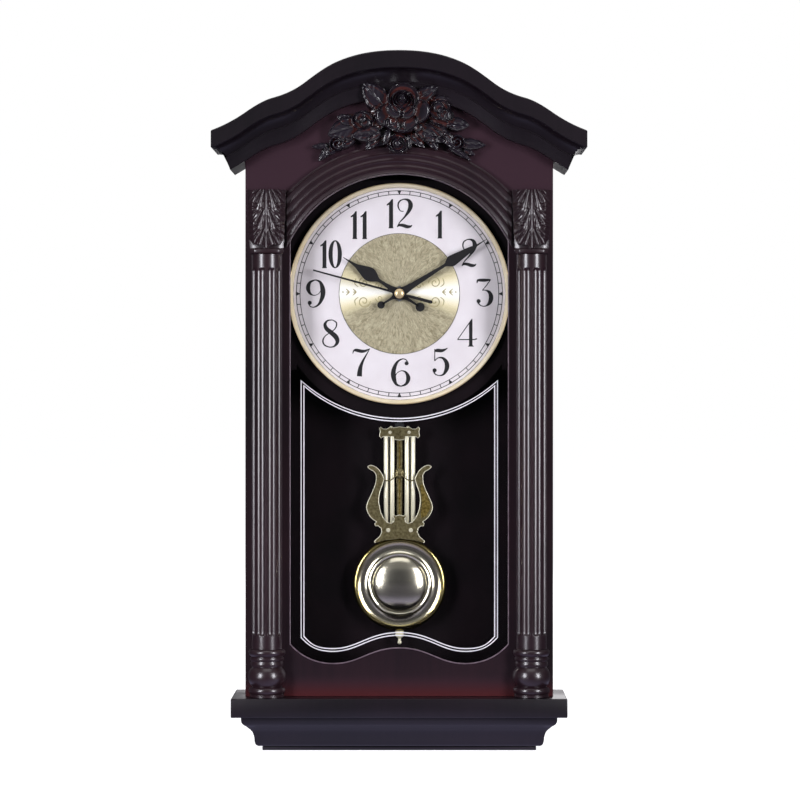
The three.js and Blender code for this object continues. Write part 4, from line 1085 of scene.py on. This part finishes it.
scroll_marks = []
for hand in (-1, 1):
    for rise in (-1, 1):
        flip = [(x, rise * z, width) for x, z, width in coil(hand * 31, 8.2, 5.6, -hand)]
        scroll_marks.append(stroke(flip, False))
        flip = [(x, rise * z, width) for x, z, width in coil(hand * 17.5, 5.6, 3.4, hand, 1.2, 0.6)]
        scroll_marks.append(stroke(flip, False))
        sprig = [(hand * 36, rise * 4.5, 0.5), (hand * 39, rise * 7.5, 0.8), (hand * 38, rise * 12, 0.5)]
        scroll_marks.append(stroke(sprig))
    for leaf_x in (37.5, 43.5):
        for rise in (-1, 0, 1):
            scroll_marks.append(stroke([(hand * leaf_x, 0, 0.4), (hand * (leaf_x + 1.6), rise * 1.3, 0.9),
                                        (hand * (leaf_x + 3.4), rise * 3.0, 0.3)]))
    scroll_marks.append(spot_of_ink(hand * 49.4, 0, 0.7))
for number, outline in enumerate(shift(scroll_marks, DIAL_X, DIAL_Z + 1.5)):
    mark = flat_film(f"etched_scroll_{number + 1}", [outline], disc_front - 0.05 - 0.004 * (number % 5), 0.04)
    settle(mark, etched, "case", "gilt_metal")

# The hands are stamped from steel sheet and enamelled satin black. A leaf and a thin tip make each
# one, its neck thickens to the hub, and a ball or a bar balances it behind.
satin_black = mottled("satin_black_enamel", "#0c0b0d", "#141215", 0.42, scale=900.0)


def hand_plate(name, node, angle, profile, ball, body, bore):
    """The profile is [distance out from the hub, width], at an angle in degrees from twelve o'clock."""
    low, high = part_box(node)
    smooth_run = curve_through(profile, 6)
    left = [(distance, width / 2) for distance, width in smooth_run]
    right = [(distance, -width / 2) for distance, width in reversed(smooth_run)]
    outlines = [left + right]
    if ball:
        outlines.append(spot_of_ink(ball[0], 0, ball[1]))
    minute = angle / 6
    placed = [[around_dial(minute, along, across) for along, across in outline] for outline in outlines]
    thick = (high.y - low.y) / MM
    plate = flat_film(name, [placed[0], circle(bore, 48)], low.y / MM, thick)
    if ball:
        knob = flat_film(name + "_ball", placed[1:], low.y / MM, thick)
        bpy.ops.object.select_all(action="DESELECT")
        knob.select_set(True)
        plate.select_set(True)
        bpy.context.view_layer.objects.active = plate
        bpy.ops.object.join()
    settle(plate, satin_black, body, "black_enamel", node)


HOUR_ANGLE, MINUTE_ANGLE, SECOND_ANGLE = -57.1, 58.1, -74.8
hand_plate("hour_hand_leaf", "hour_hand", HOUR_ANGLE, [
    (-20, 1.8), (-12, 2.2), (-7, 3.6), (-4, 7), (-1, 9), (2, 8.8), (5, 6.4), (10, 4.4), (16, 3.0), (20, 2.8),
    (22.5, 4), (25.5, 8), (28.5, 11.2), (31.5, 12.2), (34.5, 11), (38, 8.4), (42, 5.6), (45, 3.4), (50, 2),
    (58.5, 0.5)], (-21.6, 4.0), "hour_hand_arbor", 3.1)
hand_plate("minute_hand_leaf", "minute_hand", MINUTE_ANGLE, [
    (-17.5, 1.6), (-11, 2), (-7, 3), (-4, 6.2), (-1, 8.8), (2, 8.8), (6, 7), (12, 5.4), (22, 4.4), (34, 3.4),
    (44, 2.6), (47.5, 3), (50, 6.4), (53, 9.6), (56, 9.4), (62, 7.8), (68, 6.2), (74, 4.2), (78.5, 2),
    (83, 1.2), (89.5, 0.4)], (-18.8, 3.3), "minute_hand_arbor", 2.1)
hand_plate("second_hand_needle", "second_hand", SECOND_ANGLE, [
    (-29.9, 1.4), (-28.8, 2.8), (-26, 2.8), (-10, 2.4), (-7, 1.6), (-3, 3), (0, 5), (3, 3), (7, 2.0),
    (40, 1.7), (78, 1.4)], None, "second_hand_arbor", 1.1)

cap_low, cap_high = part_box("hand_cap")
CAP_FRONT, CAP_BACK = cap_low.y / MM, cap_high.y / MM
cap_profile = [(0, CAP_FRONT), (1.6, CAP_FRONT + 0.1), (3, CAP_FRONT + 0.5), (3.8, CAP_FRONT + 1.0),
               (4.3, CAP_FRONT + 1.7), (4.3, CAP_BACK), (0, CAP_BACK)]
cap = turned("domed_hand_cap", cap_profile, DIAL_X, DIAL_Z, 49)
settle(cap, gilt, "second_hand_arbor", "gilt_metal", "hand_cap")

# The pendulum's grille is a stamped yoke with four bright brass tubes and a darker middle strip below
# it, pressed into the yoke and riveted.
grille_low, grille_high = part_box("pendulum_grille")
GRILLE_FOOT = grille_low.z / MM
GRILLE_FRONT, GRILLE_BACK = grille_low.y / MM, grille_high.y / MM
TUBE_RADIUS = 2.0
YOKE_EDGE = -258.6
pale_brass = mottled("polished_pale_brass", "#e4dfc2", "#efead2", 0.3, 0.35, 6.0)
antique = mottled("antique_stamped_brass", "#62583a", "#a0956b", 0.36, 0.8, 420.0, 0.3)
old_gold = mottled("hammered_old_gold", "#6e5c28", "#bfa75a", 0.34, 0.85, 520.0, 0.6)


def hang(piece, material, *nodes):
    settle(piece, material, "pendulum", "pendulum_brass", *nodes)


def mirrored(half):
    return half + [(-x, z) for x, z in reversed(half) if x > 0.01]


yoke_half = [(0, -250.3), (5.6, -251.2), (6.6, -250.2), (7.8, -249.9), (8.9, -251.0), (11.5, -252.4),
             (14.6, -252.2), (16.6, -250.6), (17.6, -251.6), (17.0, -254.6), (17.6, -258.4),
             (16.4, -260.2), (14.4, -258.8), (9.4, -258.8), (6.2, -260.2), (3.4, -261.6), (0, -262.0)]
yoke = flat_film("stamped_yoke", [mirrored(yoke_half)], GRILLE_FRONT, 1.6, 0.3)
hang(yoke, antique, "pendulum_grille")


def upright_turning(name, profile, x, y, columns=33, sharp=35):
    """Turned about an upright axis: the profile is [radius, z]."""
    def place(column, row):
        radius, z = profile[row]
        turn = column / (columns - 1) * 2 * math.pi
        return x + radius * math.sin(turn), y - radius * math.cos(turn), z

    return shaped_grid(name, columns, len(profile), place, sharp)


tube_y = GRILLE_BACK - TUBE_RADIUS - 0.05
for number, tube_x in enumerate((-12.0, -6.4, 6.4, 12.0)):
    tube = upright_turning(f"brass_tube_{number + 1}", [
        (0, GRILLE_FOOT), (TUBE_RADIUS - 0.2, GRILLE_FOOT), (TUBE_RADIUS, GRILLE_FOOT + 0.4),
        (TUBE_RADIUS, YOKE_EDGE - 0.4), (TUBE_RADIUS - 0.2, YOKE_EDGE), (0, YOKE_EDGE)], tube_x, tube_y)
    hang(tube, pale_brass)


def oblong(half, foot, head):
    return [(-half, foot), (half, foot), (half, head), (-half, head)]


strip = flat_film("middle_strip", [oblong(2.3, GRILLE_FOOT + 6, -260), oblong(0.8, GRILLE_FOOT + 9, -263)],
                  tube_y - 0.8, 1.0, 0.2)
hang(strip, antique)
strip_core = flat_film("middle_strip_core", [oblong(1.0, GRILLE_FOOT + 8, -262)], tube_y - 0.1, 0.5)
hang(strip_core, old_gold)


def rivet_head(name, x, z, front, radius, shoulder, rise):
    """A low domed head whose flat back sinks a little into the sheet."""
    profile = [(0, front - rise), (shoulder, front - rise + 0.2), (radius, front), (radius, front + 0.4),
               (0, front + 0.4)]
    hang(turned(name, profile, x, z, 25), pale_brass)


for number, (rivet_x, rivet_z, radius) in enumerate((
        (-8.4, -255.2, 1.5), (8.4, -255.2, 1.5), (-7.2, -250.6, 0.9), (7.2, -250.6, 0.9))):
    rivet_head(f"yoke_rivet_{number + 1}", rivet_x, rivet_z, GRILLE_FRONT, radius, radius * 0.6, 0.9)

# The lyre is stamped from thicker brass, antiqued dark in its face, with bright worn edges. Its two
# arms rise from a base with two studs, and thin bars join them to the rosette.
LYRE_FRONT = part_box("pendulum_lyre")[0].y / MM
arm_outer = [(27.6, -286.3), (25.4, -288), (22.4, -289.8), (20.5, -293.8), (21.4, -301.4), (24.8, -309.7),
             (28.2, -317.3), (28.9, -322.8), (25.6, -329.6), (20.2, -334)]
arm_inner = [(14.2, -330.8), (16.8, -325), (18.3, -316.5), (17.6, -308.5), (14.8, -300.2), (13.9, -295.8),
             (17.3, -289.2), (21.6, -285.4), (25.4, -284.2), (27.6, -285)]
base_shoulder = [(20.2, -334), (21.8, -335.6), (21.2, -337.6), (18.8, -337.6), (16.2, -339.6), (15.6, -343),
                 (17.4, -347), (22.2, -351.2), (21.2, -352.6), (14, -350.6), (0, -349)]
base_middle = [(0, -328), (3.4, -329), (5.2, -327.6), (6, -329.2), (4.6, -331), (5, -334), (7.6, -335.6),
               (11.2, -334.4), (14.2, -330.8)]
arm = curve_through(arm_inner, 5) + [(27.9, -285.6)] + curve_through(arm_outer, 5)
lyre_half = base_middle[:-1] + arm + base_shoulder[1:]
lyre = flat_film("stamped_lyre", [mirrored(lyre_half)], LYRE_FRONT, 1.6, 0.35)
hang(lyre, antique, "pendulum_lyre")


def edge_wire(name, points, y, radius, material, body="pendulum", slot="pendulum_brass", closed=False):
    """A bright worn edge: a thin rounded bead along an outline."""
    curve = bpy.data.curves.new(name, "CURVE")
    curve.dimensions = "3D"
    curve.bevel_depth = radius * MM
    curve.bevel_resolution = 2
    curve.use_fill_caps = True
    spline = curve.splines.new("POLY")
    spline.points.add(len(points) - 1)
    spline.use_cyclic_u = closed
    for point, (x, z) in zip(spline.points, points):
        point.co = (x * MM, y * MM, z * MM, 1)
    bpy.ops.object.select_all(action="DESELECT")
    bead = bpy.data.objects.new(name, curve)
    bpy.context.scene.collection.objects.link(bead)
    bpy.context.view_layer.objects.active = bead
    bead.select_set(True)
    bpy.ops.object.convert(target="MESH")
    bead = bpy.context.object
    bpy.ops.object.shade_smooth()
    settle(bead, material, body, slot)


for side, sign in (("left", -1), ("right", 1)):
    rim_run = arm + base_shoulder[1:9]
    edge_wire(f"lyre_edge_{side}", [(sign * x, z) for x, z in rim_run], LYRE_FRONT, 0.34, pale_brass)
    bar = curve_through([(3.4, -293.6), (6.2, -296.4), (10, -297.8), (14, -297)], 5)
    edge_wire(f"lyre_bar_{side}", [(sign * x, z) for x, z in bar], LYRE_FRONT + 0.6, 0.45, antique)
    rivet_head(f"lyre_stud_{side}", sign * 10, -341.4, LYRE_FRONT, 1.9, 1.2, 1.0)
    inlay = [(20.2, -301), (23.4, -309), (26.6, -317), (27, -322.4), (23.6, -328.6), (19.2, -331),
             (18.8, -326), (20, -317), (19.2, -308.4), (17.8, -302)]
    # The right arm's face is given the paler old gold and the left the darker antique brass: a painted
    # highlight on the right.
    face = flat_film(f"lyre_face_{side}", [[(sign * x, z) for x, z in inlay]], LYRE_FRONT - 0.12, 0.2)
    hang(face, old_gold if sign > 0 else antique)

# A small rosette, stamped like a flower, covers the joint between the bars and the strip. Its rim has
# eight lobes.
rosette_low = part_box("pendulum_rosette")[0]
ROSETTE_Z = -291.4
rosette_columns = 97
rosette_section = [(0, 0), (0.9, 0.1), (1.4, 0.7), (1.8, 0.9), (2.6, 0.5), (3.6, 0.7), (4.1, 1.3),
                   (4.1, 2.3), (0, 2.3)]


def rosette_place(column, row):
    radius, back = rosette_section[row]
    turn = column / (rosette_columns - 1) * 2 * math.pi
    lobed = radius * (1 + (0.13 * math.cos(turn * 8) if radius > 2 else 0))
    return lobed * math.sin(turn), rosette_low.y / MM + back, ROSETTE_Z + lobed * math.cos(turn)


rosette = shaped_grid("stamped_rosette", rosette_columns, len(rosette_section), rosette_place, 35)
hang(rosette, antique, "pendulum_rosette")

# The bob is two spun brass shells crimped together: a domed middle in a rolled ring, a concave band
# that is polished, and a darker rim.
shell_low, shell_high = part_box("bob_front_shell")
SHELL_FRONT, SHELL_BACK = shell_low.y / MM, shell_high.y / MM
BOB_Z = -389.1
DOME_RADIUS, DOME_RISE, DOME_ANGLE, dome_steps = 24.3, 6.4, 1.25, 14
shell_section = []
for step in range(dome_steps + 1):
    angle = step / dome_steps * DOME_ANGLE
    back = DOME_RISE * (1 - math.cos(angle)) / (1 - math.cos(DOME_ANGLE))
    shell_section.append((DOME_RADIUS * math.sin(angle) / math.sin(DOME_ANGLE), back))
shell_section += [(24.9, 6.3), (25.5, 5.5), (26.3, 5.1), (27.2, 5.4), (27.9, 6.2), (29.2, 7.0), (31.2, 7.6),
                  (33.2, 7.7), (35.2, 7.2), (36.6, 6.4), (37.2, 6.1), (38.4, 6.2), (39.8, 6.8), (40.8, 7.7),
                  (41.1, 8.6)]
shell_profile = [(radius, SHELL_FRONT + back) for radius, back in shell_section]
shell_profile += [(41.1, SHELL_BACK), (0, SHELL_BACK)]
shell = turned("spun_bob_front", shell_profile, 0, BOB_Z, 193, 24)
bob_brass, bob_tree, bob_shader = start_material("polished_spun_brass", 0.2, 1.0)
bob_spot = add_node(bob_tree, "ShaderNodeTexCoord")
bob_middle = add_node(bob_tree, "ShaderNodeMapping", inputs={
    "Vector": bob_spot.outputs["Object"], "Location": (0, 0, -BOB_Z * MM), "Scale": (1, 0, 1)})
bob_out = add_node(bob_tree, "ShaderNodeVectorMath", {"operation": "LENGTH"}, {
    0: bob_middle.outputs["Vector"]})
bob_tone = add_node(bob_tree, "ShaderNodeValToRGB", inputs={
    "Fac": add_node(bob_tree, "ShaderNodeMapRange", inputs={
        "Value": bob_out.outputs["Value"], "From Max": 0.0411}).outputs["Result"]})
bob_tone.color_ramp.elements[0].color = linear("#e6e0cc")
bob_tone.color_ramp.elements[1].color = linear("#857645")
for place, tint in ((0.58, "#ddd7c2"), (0.66, "#f2edd8"), (0.86, "#d2cab0"), (0.9, "#b0a26c")):
    bob_tone.color_ramp.elements.new(place).color = linear(tint)
lathe_marks = add_node(bob_tree, "ShaderNodeTexNoise", {"noise_dimensions": "1D"}, {
    "W": bob_out.outputs["Value"], "Scale": 2600.0, "Detail": 2.0})
bob_tree.links.new(bob_tone.outputs["Color"], bob_shader.inputs["Base Color"])
spin = add_node(bob_tree, "ShaderNodeBump", inputs={
    "Height": lathe_marks.outputs["Fac"], "Strength": 0.04, "Distance": 0.0001})
bob_tree.links.new(spin.outputs["Normal"], bob_shader.inputs["Normal"])
hang(shell, bob_brass, "bob_front_shell")

plate_low, plate_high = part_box("bob_back_plate")
PLATE_FRONT, PLATE_BACK = plate_low.y / MM, plate_high.y / MM
plate_profile = [(0, PLATE_FRONT), (40.6, PLATE_FRONT), (41, PLATE_FRONT + 0.5), (40.4, PLATE_FRONT + 1.5),
                 (37, PLATE_BACK - 1.2), (30, PLATE_BACK - 0.3), (20, PLATE_BACK), (0, PLATE_BACK)]
back_plate = turned("spun_bob_back", plate_profile, 0, BOB_Z, 145)
hang(back_plate, bob_brass, "bob_back_plate")

nut_low, nut_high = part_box("rating_nut")
NUT_TOP, NUT_FOOT = nut_high.z / MM, nut_low.z / MM
nut_y = (nut_low.y + nut_high.y) / 2 / MM
nut_head = [(0, 0), (3.4, 0), (3.7, 0.4), (3.7, 2), (3.2, 2.5), (3.7, 3), (3.7, 4.4), (3.2, 5), (1.5, 6.2),
            (1.1, 8)]
nut_tip = [(1.3, 3.4), (1.8, 2.6), (1.9, 1.7), (1.5, 0.7), (0, 0)]
nut_profile = [(radius, NUT_TOP - drop) for radius, drop in nut_head]
nut_profile += [(radius, NUT_FOOT + rise) for radius, rise in nut_tip]
nut = upright_turning("knurled_rating_nut", nut_profile, 0, nut_y)
hang(nut, pale_brass, "rating_nut")

# Behind the dial sits a quartz movement in moulded plastic, with its battery, coils and wheels. None
# of it is seen from the front, but all of it is there.
black_plastic = mottled("moulded_black_plastic", "#161618", "#202023", 0.5, 0.0, 800.0, 0.15)
dress(black_plastic, "movement_housing", "movement_rear_cover", "pendulum_hanger")
white_plastic = mottled("moulded_white_acetal", "#dcd8cc", "#e9e6dc", 0.45, 0.0, 300.0)
dress(white_plastic, "rotor", "idler_wheel", "third_wheel", "motion_wheel", "setting_knob", "second_wheel",
      "minute_wheel", "hour_wheel")
bright_zinc = mottled("bright_zinc_plated_steel", "#8f9194", "#b5b7b9", 0.34, 1.0, 180.0, 0.1)
dress(bright_zinc, "hanger_plate", "battery_contact_plus", "battery_contact_minus", "bushing_nut",
      "pendulum_pivot_pin", "pendulum_magnet")
board_green = mottled("green_solder_mask", "#1f5a38", "#2a6b45", 0.4, 0.0, 240.0)
dress(board_green, "circuit_board")
wound_copper = mottled("wound_copper_wire", "#8a4a22", "#c9824c", 0.35, 0.9, 900.0, 0.5, (1, 1, 0.1))
dress(wound_copper, "motor_coil", "pendulum_coil")
sleeve = mottled("shrink_film_sleeve", "#2c2f3d", "#3b4052", 0.35, 0.0, 60.0)
dress(sleeve, "battery")

# The stamping press leaves a bright rounded edge around the yoke and around the foot of the lyre.
edge_wire("yoke_edge", mirrored(yoke_half), GRILLE_FRONT + 0.1, 0.32, pale_brass, closed=True)
for side, sign in (("left", -1), ("right", 1)):
    for edge, half_line in (("crest", base_middle), ("shoulder", base_shoulder[:-2])):
        edge_line = [(sign * x, z) for x, z in half_line]
        edge_wire(f"lyre_{edge}_{side}", edge_line, LYRE_FRONT + 0.1, 0.32, pale_brass)

# The sawn edge of the window is eased, and a bead all the way round it is painted a lighter lilac: a painted
# highlight.
WINDOW_HALF, WINDOW_CORNER, WINDOW_DIP, WINDOW_MIDDLE, DIP_X = 94.8, -438.2, -455.2, -441.6, 57
spring_angle = math.acos(WINDOW_HALF / ARCH_INNER)
window_right = [(ARCH_INNER * math.sin(angle), ARCH_CENTRE + ARCH_INNER * math.cos(angle)) for angle in
                (step / 40 * (math.pi / 2 - spring_angle) for step in range(41))]
window_right += bezier(
    (WINDOW_HALF, WINDOW_CORNER), (88, WINDOW_CORNER - 8), (76, WINDOW_DIP), (DIP_X, WINDOW_DIP))
window_right += bezier((DIP_X, WINDOW_DIP), (34, WINDOW_DIP), (26, WINDOW_MIDDLE), (0, WINDOW_MIDDLE))
# Painted highlight: the edge bead is a lighter lilac than the lacquer.
edge_painted_highlight = mottled("lacquer_edge_painted_highlight", "#54454e", "#76656f", 0.3, scale=200.0)
frame_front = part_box("front_frame")[0].y / MM
edge_wire("window_edge_painted_highlight", mirrored(window_right), frame_front + 0.25, 0.55, edge_painted_highlight, "case",
          "lacquered_wood", True)

# The rolled outer edge of the bezel is given the gilt's own gold, beside the face's painted highlight.
RIM_RADIUS, RIM_Y = 96.3, BEZEL_FRONT + 0.55
edge_wire("bezel_gold_edge", circle(RIM_RADIUS, 240), RIM_Y, 0.5, gilt, "case", "gilt_metal", True)
